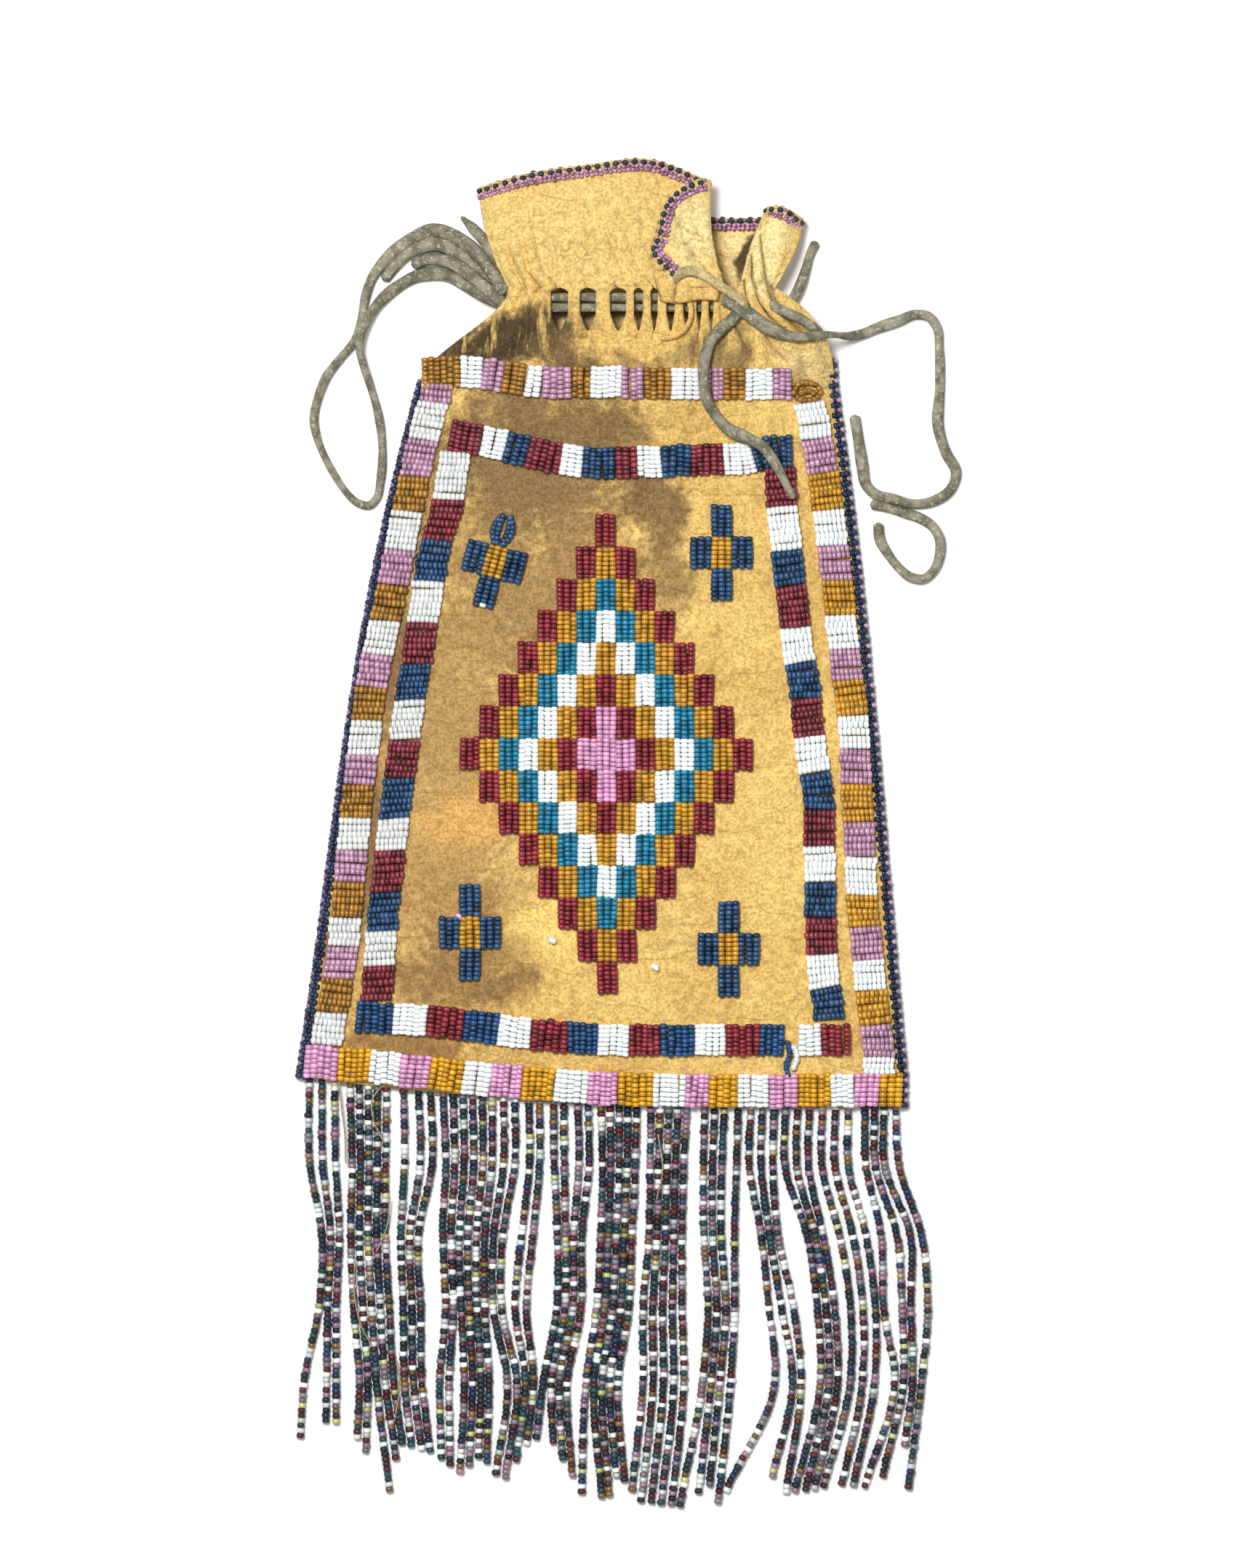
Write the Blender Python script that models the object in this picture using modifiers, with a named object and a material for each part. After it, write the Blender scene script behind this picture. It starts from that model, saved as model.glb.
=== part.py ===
"""Beaded drawstring medicine bag of tanned hide, lying on its back.

X runs to the right, Y runs from the fringe to the mouth, and Z points up, away from the table.
The origin is on the flat underside of the back panel, in the middle of the body.
"""

import math

import bpy
from mathutils import Vector
from mathutils.bvhtree import BVHTree

MM = 0.001

# Hide and clearances
HIDE = 1.2 * MM
FIT = 0.3 * MM

# Outline of the body, seen from above
HEM_Y = -103.4 * MM
HEM_DROP = 8.8 * MM
HEM_WIDTH = 182.8 * MM
HEM_SHIFT = -1.0 * MM
TOP_Y = 105.6 * MM
TOP_WIDTH = 125.2 * MM
TOP_SHIFT = 6.7 * MM
LEFT_BOW = 3.9 * MM
RIGHT_BOW = 1.6 * MM

# Neck: the pleats at each side, and the slits with the straps between them
SLIT_LOW_Y = 122.0 * MM
SLIT_HIGH_Y = 135.0 * MM
NECK_LEFT = -29.0 * MM
PLEAT_WIDTH = 2.08 * MM
LEFT_PLEATS = 6
RIGHT_PLEATS = 8
GAP_PLEATS = 3
SLIT_WIDTHS = tuple(w * MM for w in (5.5, 5.1, 5.3, 3.3, 2.6, 2.9, 2.1, 2.1, 2.0))
STRAP_WIDTHS = tuple(w * MM for w in (3.3, 4.0, 1.8, 1.8, 2.2, 2.2, 1.8, 1.6, 1.6))
PLEAT_DEPTH = 1.0 * MM
PLEAT_LEAD = 0.25
PLEAT_FADE = 14.0 * MM
PLEAT_END = 8.0 * MM
GATHER_LENGTH = 45.0 * MM
SHOULDER_LENGTH = 26.0 * MM
BACK_PLEAT_DEPTH = 0.5 * MM

# Collar above the neck
RIM_Y = 165.7 * MM
RIM_ARCH = 7.7 * MM
COLLAR_FLARE = 8.6 * MM
COLLAR_WIDTH = 68.2 * MM
FLAP_REACH = 18.0 * MM
FLAP_RISE = 2.2 * MM
FLAP_LIFT = 1.4 * MM
FOLD_BOW = 1.8 * MM
LOBE_RIM_Y = 158.4 * MM
LOBE_WIDTH = 10.0 * MM
LOBE_LEAN = 8.6 * MM
LOBE_CREST = 9.0 * MM
LOBE_ARCH = 2.6 * MM
LOBE_FALL = 2.0 * MM
BACK_RIM_Y = 156.4 * MM
BACK_RIM_WIDTH = 90.0 * MM

# Heights of the front panel's middle surface
BODY_HEIGHT = 7.4 * MM
NECK_HEIGHT = 13.4 * MM
NECK_SIDE_HEIGHT = 9.8 * MM
COLLAR_HEIGHT = 9.8 * MM
COLLAR_SIDE_HEIGHT = 4.6 * MM
ROLL = 35.0 * MM

# Beadwork: each inset is a lane's middle line from the edge that it follows
TOP_LANE_RISE = 3.8 * MM
OUTER_LEFT_INSET = 5.5 * MM
OUTER_RIGHT_INSET = 7.0 * MM
HEM_LANE_INSET = 5.0 * MM
INNER_TOP_INSET = 22.0 * MM
INNER_LEFT_INSET = 17.0 * MM
INNER_RIGHT_INSET = 20.0 * MM
INNER_HEM_INSET = 20.0 * MM
LANE_WIDTH = 9.0 * MM
LANE_STEP = 11.0 * MM
BEAD_THICK = 1.7 * MM
BLOCK_WIDTH = 5.9 * MM
BLOCK_LENGTH = 9.64 * MM
BLOCK_ARCH = 0.45 * MM
CROSS_BLOCKS = ((0, 0), (0, 1), (0, -1), (1, 0), (-1, 0))
DIAMOND_ROWS = 15
DIAMOND_X = 0.4 * MM
DIAMOND_Y = -6.0 * MM
EDGING_RADIUS = 1.2 * MM
EDGING_RISE = 6.0 * MM

# Thongs and fringe
THONG_RADIUS = 1.3 * MM
THONG_STEP = 5.8 * MM
UPPER_RUN = 0.57
STRAND_RADIUS = 0.95 * MM
STRAND_PAIRS = 26
FRINGE_INSET = 2.4 * MM
FRINGE_LENGTH = 114.4 * MM

SEAM_HEIGHT = 1.5 * HIDE + FIT
FOLD_COLUMN = LEFT_PLEATS + len(SLIT_WIDTHS) + len(STRAP_WIDTHS)
LOBE_COLUMN = FOLD_COLUMN + GAP_PLEATS
LAST_COLUMN = FOLD_COLUMN + RIGHT_PLEATS

COLLECTION = bpy.data.collections.new("beaded_medicine_bag")


def clear_scene():
    """Removes every object of the open file."""
    for item in list(bpy.data.objects):
        bpy.data.objects.remove(item, do_unlink=True)
    bpy.context.scene.collection.children.link(COLLECTION)


def finish(name, colour, roughness, metallic=0.0):
    """One plain material with the piece's colour."""
    material = bpy.data.materials.new(name)
    material.use_nodes = True
    shader = material.node_tree.nodes["Principled BSDF"]
    shader.inputs["Base Color"].default_value = (*colour, 1.0)
    shader.inputs["Roughness"].default_value = roughness
    shader.inputs["Metallic"].default_value = metallic
    return material


def add_object(name, data, material):
    """Puts a mesh or curve in the bag's collection under the piece's name."""
    data.materials.append(material)
    item = bpy.data.objects.new(name, data)
    COLLECTION.objects.link(item)
    return item


def mix(a, b, t):
    return a + (b - a) * t


def ease(t):
    """Smooth step from 0 to 1."""
    t = min(max(t, 0.0), 1.0)
    return t * t * (3.0 - 2.0 * t)


def plump(distance, roll):
    """How far a sheet has risen from its seam, from 0 at the seam to 1 a roll's width in."""
    t = min(max(distance / roll, 0.0), 1.0)
    return 1.0 - (1.0 - t) ** 3


def interpolate(t, stations):
    """Value at t on straight runs between (t, value) stations."""
    for (t0, v0), (t1, v1) in zip(stations, stations[1:]):
        if t <= t1:
            return mix(v0, v1, min(max((t - t0) / (t1 - t0), 0.0), 1.0))
    return stations[-1][1]


def neck_columns():
    """Places of the column lines across the neck, from its left end, and which columns are slits."""
    widths = [PLEAT_WIDTH] * LEFT_PLEATS
    slits = set()
    for slit, strap in zip(SLIT_WIDTHS, STRAP_WIDTHS):
        slits.add(len(widths))
        widths += [slit, strap]
    widths += [PLEAT_WIDTH] * RIGHT_PLEATS
    places = [0.0]
    for width in widths:
        places.append(places[-1] + width)
    return places, slits


NECK_PLACES, SLIT_COLUMNS = neck_columns()
NECK_WIDTH = NECK_PLACES[-1]
NECK_RIGHT = NECK_LEFT + NECK_WIDTH
FOLD_X = NECK_LEFT + NECK_PLACES[FOLD_COLUMN]
LOBE_X = NECK_LEFT + NECK_PLACES[LOBE_COLUMN]


def side_edge(y, side):
    """X of the hide's left (-1) or right (+1) edge: a bowed side, then a shoulder running in to the neck."""
    hem = HEM_SHIFT + side * HEM_WIDTH / 2
    top = TOP_SHIFT + side * TOP_WIDTH / 2
    if y <= TOP_Y:
        t = max((y - HEM_Y) / (TOP_Y - HEM_Y), 0.0)
        bow = LEFT_BOW if side < 0 else RIGHT_BOW
        return mix(hem, top, t) + side * bow * math.sin(math.pi * t**1.5)
    neck = NECK_LEFT if side < 0 else NECK_RIGHT
    t = min((y - TOP_Y) / (SLIT_HIGH_Y - TOP_Y), 1.0)
    return mix(top, neck, ease(t) if side < 0 else t**2.6)


def hem_sag(x):
    """How far the hem hangs below its left corner."""
    t = (x - side_edge(HEM_Y, -1)) / HEM_WIDTH
    t = min(max(t, 0.0), 1.0)
    return HEM_DROP * (1.0 - (1.0 - t) ** 3)


def crown_height(y):
    """Height of the front panel's middle surface along the bag's centre line."""
    if y < SLIT_LOW_Y:
        start = TOP_Y - SHOULDER_LENGTH
        return mix(BODY_HEIGHT, NECK_HEIGHT, ease((y - start) / (SLIT_LOW_Y - start)))
    return mix(NECK_HEIGHT, COLLAR_HEIGHT, ease((y - SLIT_HIGH_Y) / (RIM_Y - SLIT_HIGH_Y)))


def edge_height(y):
    """Height of the front panel's side edges: seamed on the body, parted at the neck for the thongs."""
    opened = ease((y - TOP_Y) / (SLIT_LOW_Y - TOP_Y))
    closed = ease((y - SLIT_HIGH_Y) / (RIM_Y - SLIT_HIGH_Y))
    neck = mix(NECK_SIDE_HEIGHT, COLLAR_SIDE_HEIGHT, closed)
    return mix(SEAM_HEIGHT, neck, opened)


def front_height(x, y):
    """Height of the front panel's middle surface over the body and the neck."""
    roll = mix(ROLL, 0.5 * ROLL, ease((y - TOP_Y) / (SLIT_LOW_Y - TOP_Y)))
    side = min(x - side_edge(y, -1), side_edge(y, 1) - x)
    hem = y - (HEM_Y - hem_sag(x))
    low = edge_height(y)
    return low + (crown_height(y) - low) * plump(side, roll) * plump(hem, ROLL)


def pleat(column, y):
    """Height that the gathers add: every second column line of a pleat stands up, the next one lies low."""
    if column in (0, LAST_COLUMN):
        return 0.0
    sign = 1.0 if column % 2 else -1.0
    opened = ease((y - TOP_Y) / (SLIT_LOW_Y - TOP_Y) + PLEAT_LEAD)
    reach = opened * ease((RIM_Y - PLEAT_END - y) / PLEAT_FADE)
    at_slits = LEFT_PLEATS <= column <= FOLD_COLUMN
    if at_slits and SLIT_LOW_Y - HIDE < y < SLIT_HIGH_Y + HIDE:
        return 0.0
    return sign * PLEAT_DEPTH * reach * (0.6 if at_slits else 1.0)


def panel_rows():
    """Y of each row line at the left side of the front panel, and the numbers of the slit band's rows."""
    rows = [mix(HEM_Y, TOP_Y, t) for t in (0.0, 0.035, 0.09, 0.17, 0.27, 0.4, 0.54, 0.68, 0.8, 0.9, 1.0)]
    rows += [mix(TOP_Y, SLIT_LOW_Y, t) for t in (0.35, 0.6, 0.82)]
    first = len(rows)
    rows += [mix(SLIT_LOW_Y, SLIT_HIGH_Y, t) for t in (0.0, 0.4, 0.7)]
    last = len(rows)
    rows += [mix(SLIT_HIGH_Y, RIM_Y, t) for t in (0.0, 0.14, 0.34, 0.56, 0.78, 1.0)]
    return rows, first, last


def fold_edge(t):
    """X of the line where the front collar's right corner folds over, from neck (0) to rim (1)."""
    rim = NECK_LEFT - COLLAR_FLARE + COLLAR_WIDTH
    return mix(FOLD_X, rim, t) - FOLD_BOW * math.sin(math.pi * t)


def rim_rise(t):
    """How far the front rim stands above its left corner, across from left (0) to the fold (1)."""
    arch = ((0, 0), (0.19, 0.48), (0.45, 0.83), (0.79, 1.0), (0.91, 0.62), (1, 0.26))
    return RIM_ARCH * interpolate(t, arch)


def collar_point(column, y):
    """A point of the front collar, left of the fold."""
    t = (y - SLIT_HIGH_Y) / (RIM_Y - SLIT_HIGH_Y)
    left = NECK_LEFT - COLLAR_FLARE * (1.0 - (1.0 - t) ** 2)
    share = mix(NECK_PLACES[column] / NECK_PLACES[FOLD_COLUMN], column / FOLD_COLUMN, t)
    x = mix(left, fold_edge(t), share)
    low = edge_height(y)
    inner = plump(x - left, 0.5 * ROLL)
    z = low + (crown_height(y) - low) * inner + pleat(column, y)
    return Vector((x, y + t * t * rim_rise(share), z))


def lobe_point(column, t):
    """A point of the gathered lobe at the right, from neck (0) to rim (1)."""
    share = (column - LOBE_COLUMN) / (LAST_COLUMN - LOBE_COLUMN)
    left = LOBE_X + LOBE_LEAN * t**1.4
    right = NECK_RIGHT + (LOBE_X + LOBE_LEAN + LOBE_WIDTH - NECK_RIGHT) * math.sin(0.5 * math.pi * t)
    arch = LOBE_ARCH * math.sin(math.pi * (0.2 + 0.8 * share)) - LOBE_FALL * share
    y = mix(SLIT_HIGH_Y, LOBE_RIM_Y, t) + t * arch
    base = front_height(NECK_LEFT + NECK_PLACES[column], SLIT_HIGH_Y) + pleat(column, SLIT_HIGH_Y)
    crest = 0.55 * LOBE_CREST + 0.45 * LOBE_CREST * math.sin(math.pi * share)
    return Vector((mix(left, right, share), y, mix(base, crest, ease(t))))


def flap_points(corner, t, reach):
    """The folded corner's points at one row: round the fold, then back to the left over the collar."""
    steps = ((0.45 * FLAP_RISE, 0.5), (-0.27 * FLAP_RISE, 1.0), (-0.5 * reach, 1.25), (-reach, 1.1))
    lift = FLAP_LIFT * ease(1 - t)
    return [corner + Vector((dx, 0.0, dz * FLAP_RISE + lift)) for dx, dz in steps]


def front_grid():
    """Vertices and faces of the front panel's middle surface, with its slits, collar and folded corner."""
    rows, slit_first, slit_last = panel_rows()
    high = rows.index(SLIT_HIGH_Y)
    top = len(rows) - 1
    points = {}
    for row, y in enumerate(rows):
        gather = ease((y - TOP_Y + GATHER_LENGTH) / (SLIT_LOW_Y - TOP_Y + GATHER_LENGTH))
        for column in range(LAST_COLUMN + 1):
            t = (y - SLIT_HIGH_Y) / (RIM_Y - SLIT_HIGH_Y)
            if y <= SLIT_HIGH_Y:
                share = mix(column / LAST_COLUMN, NECK_PLACES[column] / NECK_WIDTH, gather)
                x = mix(side_edge(y, -1), side_edge(y, 1), share)
                level = (1.0 - (y - HEM_Y) / (TOP_Y - HEM_Y)) ** 2 if y < TOP_Y else 0.0
                sagged = y - hem_sag(x) * level
                points[column, row] = Vector((x, sagged, front_height(x, sagged) + pleat(column, y)))
            elif column <= FOLD_COLUMN:
                points[column, row] = collar_point(column, y)
            elif column >= LOBE_COLUMN:
                points[column, row] = lobe_point(column, t)
    faces = []
    for row in range(top):
        for column in range(LAST_COLUMN):
            if column in SLIT_COLUMNS and slit_first <= row < slit_last:
                continue
            corners = [(column, row), (column + 1, row), (column + 1, row + 1), (column, row + 1)]
            if all(key in points for key in corners):
                faces.append(corners)
    flap_reach = (0.35, 0.55, 0.82, 1.0, 0.95, 0.45)
    flap_rows = list(range(high, top + 1))
    for share, row in zip(flap_reach, flap_rows):
        t = (row - high) / (top - high)
        corner = points[FOLD_COLUMN, row]
        for step, place in enumerate(flap_points(corner, t, share * FLAP_REACH), start=1):
            points["flap", step, row] = place
    for row in flap_rows[:-1]:
        line = [(FOLD_COLUMN, row), *(("flap", step, row) for step in range(1, 5))]
        upper = [(FOLD_COLUMN, row + 1), *(("flap", step, row + 1) for step in range(1, 5))]
        for step in range(4):
            faces.append([line[step], line[step + 1], upper[step + 1], upper[step]])
    return points, faces, high, top


def back_grid():
    """Vertices and faces of the back panel: flat on the table, gathered at the neck, with a plain collar."""
    rows = [mix(HEM_Y, TOP_Y, t) for t in (0.0, 0.09, 0.27, 0.54, 0.8, 1.0)]
    rows += [mix(TOP_Y, SLIT_LOW_Y, t) for t in (0.4, 0.7, 1.0)]
    rows += [mix(SLIT_LOW_Y, SLIT_HIGH_Y, t) for t in (0.5, 1.0)]
    rows += [mix(SLIT_HIGH_Y, BACK_RIM_Y, t) for t in (0.3, 0.65, 1.0)]
    columns = 18
    points = {}
    faces = []
    for row, y in enumerate(rows):
        for column in range(columns + 1):
            share = column / columns
            if y <= SLIT_HIGH_Y:
                left, right = side_edge(y, -1), side_edge(y, 1)
            else:
                t = (y - SLIT_HIGH_Y) / (BACK_RIM_Y - SLIT_HIGH_Y)
                left = NECK_LEFT - 0.7 * COLLAR_FLARE * (1.0 - (1.0 - t) ** 2)
                right = mix(NECK_RIGHT, NECK_LEFT + BACK_RIM_WIDTH - 0.7 * COLLAR_FLARE, ease(t))
            x = mix(left, right, share)
            level = (1.0 - (y - HEM_Y) / (TOP_Y - HEM_Y)) ** 2 if y < TOP_Y else 0.0
            reach = ease((y - TOP_Y) / (SLIT_LOW_Y - TOP_Y)) * ease((BACK_RIM_Y - y) / PLEAT_FADE)
            rise = BACK_PLEAT_DEPTH * reach * (column % 2)
            points[column, row] = Vector((x, y - hem_sag(x) * level, HIDE / 2 + rise))
    for row in range(len(rows) - 1):
        for column in range(columns):
            faces.append([(column, row), (column + 1, row), (column + 1, row + 1), (column, row + 1)])
    rim = [points[column, len(rows) - 1] for column in range(columns + 1)]
    return points, faces, rim


def sheet(name, points, faces, material, thickness=HIDE):
    """An open surface given its thickness by Solidify, half to each side."""
    keys = list(points)
    number = {key: place for place, key in enumerate(keys)}
    mesh = bpy.data.meshes.new(name)
    mesh.from_pydata([points[key] for key in keys], [], [[number[key] for key in face] for face in faces])
    mesh.validate()
    item = add_object(name, mesh, material)
    shell = item.modifiers.new("thickness", "SOLIDIFY")
    shell.thickness = thickness
    shell.offset = 0.0
    mesh.shade_smooth()
    return item


def surface_tree(item):
    """A search tree of the finished surface of one piece."""
    return BVHTree.FromObject(item, bpy.context.evaluated_depsgraph_get())


def rest_height(tree, x, y, reach):
    """Highest point of a surface within reach of (x, y), on which a piece laid there comes to rest."""
    highest = 0.0
    for dx in (-reach, 0.0, reach):
        for dy in (-reach, 0.0, reach):
            hit = tree.ray_cast(Vector((x + dx, y + dy, 1.0)), Vector((0.0, 0.0, -1.0)))[0]
            if hit is not None:
                highest = max(highest, hit.z)
    return highest


def offset_path(path, distance):
    """The path moved sideways in plan, to its left side."""
    moved = []
    for number, point in enumerate(path):
        before = path[max(number - 1, 0)]
        after = path[min(number + 1, len(path) - 1)]
        run = Vector((after.x - before.x, after.y - before.y, 0.0)).normalized()
        moved.append(point + Vector((-run.y, run.x, 0.0)) * distance)
    return moved


def smooth_route(stations, step):
    """Points a step apart on a Catmull-Rom curve through a route's own points."""
    knots = [stations[0], *stations, stations[-1]]
    fine = []
    for p0, p1, p2, p3 in zip(knots, knots[1:], knots[2:], knots[3:]):
        for part in range(12):
            t = part / 12
            fine.append(
                0.5 * ((2 * p1) + (p2 - p0) * t + (2 * p0 - 5 * p1 + 4 * p2 - p3) * t**2
                       + (3 * p1 - p0 - 3 * p2 + p3) * t**3)
            )
    fine.append(stations[-1])
    lengths = [0.0]
    for a, b in zip(fine, fine[1:]):
        lengths.append(lengths[-1] + (b - a).length)
    count = max(int(round(lengths[-1] / step)), 2)
    route = []
    place = 0
    for number in range(count + 1):
        goal = lengths[-1] * number / count
        while place < len(fine) - 2 and lengths[place + 1] < goal:
            place += 1
        span = lengths[place + 1] - lengths[place]
        route.append(fine[place].lerp(fine[place + 1], (goal - lengths[place]) / span))
    return route


def tube(name, path, radius, material, resolution=2):
    """A round tube along a path, with closed ends."""
    curve = bpy.data.curves.new(name, "CURVE")
    curve.dimensions = "3D"
    curve.bevel_depth = radius
    curve.bevel_resolution = resolution
    curve.use_fill_caps = True
    spline = curve.splines.new("POLY")
    spline.points.add(len(path) - 1)
    for point, place in zip(spline.points, path):
        point.co = (*place, 1.0)
        point.radius = 1.0
    spline.use_smooth = True
    return add_object(name, curve, material)


def patch(name, blocks, centre, turn, tree, material):
    """Blocks of beadwork, each (column, row) from the centre, on the front panel: every row of blocks arches up."""
    points = {}
    faces = []
    lift = FIT + BEAD_THICK / 2
    cosine, sine = math.cos(turn), math.sin(turn)
    for column, row in blocks:
        for left in (-1, 1):
            for up in (-1, 0, 1):
                x, y = (column + left / 2) * BLOCK_WIDTH, (row + up / 2) * BLOCK_LENGTH
                place = (centre[0] + x * cosine - y * sine, centre[1] + x * sine + y * cosine)
                arch = 0.0 if up else BLOCK_ARCH
                height = rest_height(tree, *place, BLOCK_WIDTH / 2) + lift + arch
                points[2 * column + left, 2 * row + up] = Vector((*place, height))
        for low in (-1, 0):
            corners = ((-1, low), (1, low), (1, low + 1), (-1, low + 1))
            faces.append([(2 * column + dx, 2 * row + dy) for dx, dy in corners])
    return sheet(name, points, faces, material, BEAD_THICK)


def lane(name, route, tree, material):
    """A lane of bead rows: a strip along its centre line, laid on the front panel."""
    centre = smooth_route([Vector((x, y, 0.0)) for x, y in route], LANE_STEP)
    points = {}
    faces = []
    lift = FIT + BEAD_THICK / 2
    for column, share in enumerate((-1, 0, 1)):
        for row, place in enumerate(offset_path(centre, share * LANE_WIDTH / 2)):
            height = rest_height(tree, place.x, place.y, LANE_WIDTH / 3) + lift
            points[column, row] = Vector((place.x, place.y, height))
    for row in range(len(centre) - 1):
        for column in range(2):
            faces.append([(column, row), (column + 1, row), (column + 1, row + 1), (column, row + 1)])
    return sheet(name, points, faces, material, BEAD_THICK)


def down_the_side(side, inset, stations):
    """A lane's centre line along one side: stations are (share of the body's length, share of the inset)."""
    route = []
    for share, part in stations:
        y = mix(TOP_Y, HEM_Y, share)
        route.append((side_edge(y, side) - side * inset * part, y))
    return route


def below_the_top(inset, stations):
    """A lane's centre line across under the shoulders: stations are (share across, share of the inset)."""
    route = []
    for share, part in stations:
        y = TOP_Y - inset * part
        route.append((mix(side_edge(y, -1), side_edge(y, 1), share), y))
    return route


def above_the_hem(inset, stations):
    """A lane's centre line across over the hem: stations are (share across, share of the inset)."""
    route = []
    for share, part in stations:
        x = mix(side_edge(HEM_Y, -1), side_edge(HEM_Y, 1), share)
        route.append((x, HEM_Y - hem_sag(x) + inset * part))
    return route


def diamond_blocks():
    """A stepped diamond: each row of blocks is two blocks wider than the last, up to the middle row."""
    half = DIAMOND_ROWS // 2
    blocks = []
    for row in range(-half, half + 1):
        reach = half - abs(row)
        blocks += [(column, row) for column in range(-reach, reach + 1)]
    return blocks


# Where the strands bunch as they hang: share of FRINGE_LENGTH below the hem's lowest point, then for each
# bunch its left and right edge as shares of the hem's width, and its strands
BUNCHES = (
    (0.154, ((0.016, 0.059, 3), (0.086, 0.142, 5), (0.173, 0.199, 2), (0.219, 0.219, 1),
        (0.241, 0.318, 6), (0.337, 0.356, 2), (0.380, 0.397, 2), (0.421, 0.438, 2), (0.462, 0.479, 2),
        (0.501, 0.556, 5), (0.580, 0.636, 5), (0.668, 0.699, 3), (0.723, 0.723, 1), (0.744, 0.842, 6),
        (0.864, 0.908, 3), (0.937, 0.968, 3), (0.992, 0.992, 1))),
    (0.346, ((0.036, 0.065, 3), (0.084, 0.141, 5), (0.167, 0.196, 3), (0.236, 0.306, 6),
        (0.321, 0.336, 2), (0.367, 0.386, 2), (0.426, 0.467, 4), (0.498, 0.550, 5), (0.578, 0.633, 5),
        (0.669, 0.698, 3), (0.720, 0.720, 1), (0.764, 0.792, 3), (0.840, 0.867, 3), (0.894, 0.938, 3),
        (0.963, 0.963, 1), (0.989, 1.011, 2), (1.030, 1.030, 1))),
    (0.538, ((0.031, 0.060, 3), (0.089, 0.148, 5), (0.171, 0.200, 3), (0.241, 0.306, 6),
        (0.320, 0.334, 2), (0.356, 0.375, 2), (0.425, 0.466, 4), (0.491, 0.545, 5), (0.568, 0.633, 5),
        (0.676, 0.705, 3), (0.720, 0.720, 1), (0.777, 0.818, 3), (0.857, 0.886, 3), (0.912, 0.953, 3),
        (0.967, 0.967, 1), (0.997, 1.012, 2), (1.040, 1.040, 1))),
    (0.731, ((0.007, 0.007, 1), (0.044, 0.060, 2), (0.098, 0.155, 5), (0.173, 0.202, 3),
        (0.231, 0.247, 2), (0.272, 0.313, 4), (0.343, 0.359, 2), (0.373, 0.387, 2), (0.403, 0.443, 4),
        (0.474, 0.527, 5), (0.568, 0.636, 5), (0.667, 0.696, 3), (0.714, 0.714, 1), (0.787, 0.787, 1),
        (0.816, 0.830, 2), (0.862, 0.891, 3), (0.912, 0.952, 3), (0.985, 0.985, 1), (1.000, 1.015, 2),
        (1.030, 1.030, 1))),
    (1.000, ((-0.005, -0.005, 1), (0.042, 0.059, 2), (0.092, 0.107, 2), (0.147, 0.147, 1),
        (0.165, 0.191, 3), (0.208, 0.235, 3), (0.249, 0.264, 2), (0.279, 0.323, 4), (0.339, 0.354, 2),
        (0.368, 0.383, 2), (0.421, 0.467, 4), (0.498, 0.551, 5), (0.568, 0.636, 5), (0.662, 0.696, 3),
        (0.712, 0.712, 1), (0.780, 0.780, 1), (0.807, 0.823, 2), (0.840, 0.869, 3), (0.898, 0.937, 3),
        (0.963, 0.963, 1), (0.994, 1.009, 2), (1.079, 1.079, 1))),
)

# How far down the strands end across the fringe, as shares of the hem's width and of FRINGE_LENGTH
FRINGE_ENDS = (
    (-0.005, 0.875), (0.051, 0.827), (0.094, 0.881), (0.150, 1.025), (0.172, 0.890), (0.221, 0.913),
    (0.265, 0.971), (0.298, 0.923), (0.335, 0.997), (0.371, 0.885), (0.412, 0.864), (0.467, 1.023),
    (0.509, 1.038), (0.527, 0.971), (0.566, 1.045), (0.636, 1.058), (0.678, 1.000), (0.702, 1.065),
    (0.720, 0.981), (0.780, 0.981), (0.804, 1.023), (0.846, 1.016), (0.888, 1.000), (0.955, 1.010),
    (0.991, 0.875), (1.009, 1.010), (1.079, 0.990),
)


def spread(bunches):
    """One place across for each strand, spaced evenly inside its bunch."""
    places = []
    for left, right, count in bunches:
        for number in range(count):
            places.append(mix(left, right, number / max(count - 1, 1)))
    return places


def strand_path(number):
    """One strand's points from the hem down to its end, lying on the table."""
    count = 2 * STRAND_PAIRS
    left, right = side_edge(HEM_Y, -1) + FRINGE_INSET, side_edge(HEM_Y, 1) - FRINGE_INSET
    x = mix(left, right, number / (count - 1))
    clear = FIT + STRAND_RADIUS
    hem = HEM_Y - hem_sag(x) - clear - 1.2 * FIT
    lying = STRAND_RADIUS + FIT / 3
    path = [Vector((x, hem, lying))]
    base = HEM_Y - HEM_DROP
    corner = side_edge(HEM_Y, -1)
    levels = []
    for drop, bunches in BUNCHES:
        share = spread(bunches)[number]
        levels.append((base - drop * FRINGE_LENGTH, corner + share * HEM_WIDTH))
    end_y = base - interpolate(share, FRINGE_ENDS) * FRINGE_LENGTH
    for level, place in levels[:-1]:
        path.append(Vector((place, level, lying)))
    (y0, x0), (y1, x1) = levels[-2:]
    path.append(Vector((mix(x0, x1, (end_y - y0) / (y1 - y0)), end_y, lying)))
    return path


def build_fringe(material):
    """Each thread hangs doubled through the hem, as a pair of strands joined at the top."""
    for pair in range(STRAND_PAIRS):
        first = strand_path(2 * pair)
        second = strand_path(2 * pair + 1)
        tube(f"fringe_pair_{pair + 1:02d}", first[::-1] + second, STRAND_RADIUS, material, resolution=1)


def thong(name, stations, material):
    """A free run of the drawstring thong, through points given in millimetres."""
    route = smooth_route([Vector(station) * MM for station in stations], THONG_STEP)
    return tube(name, route, THONG_RADIUS, material)


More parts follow.
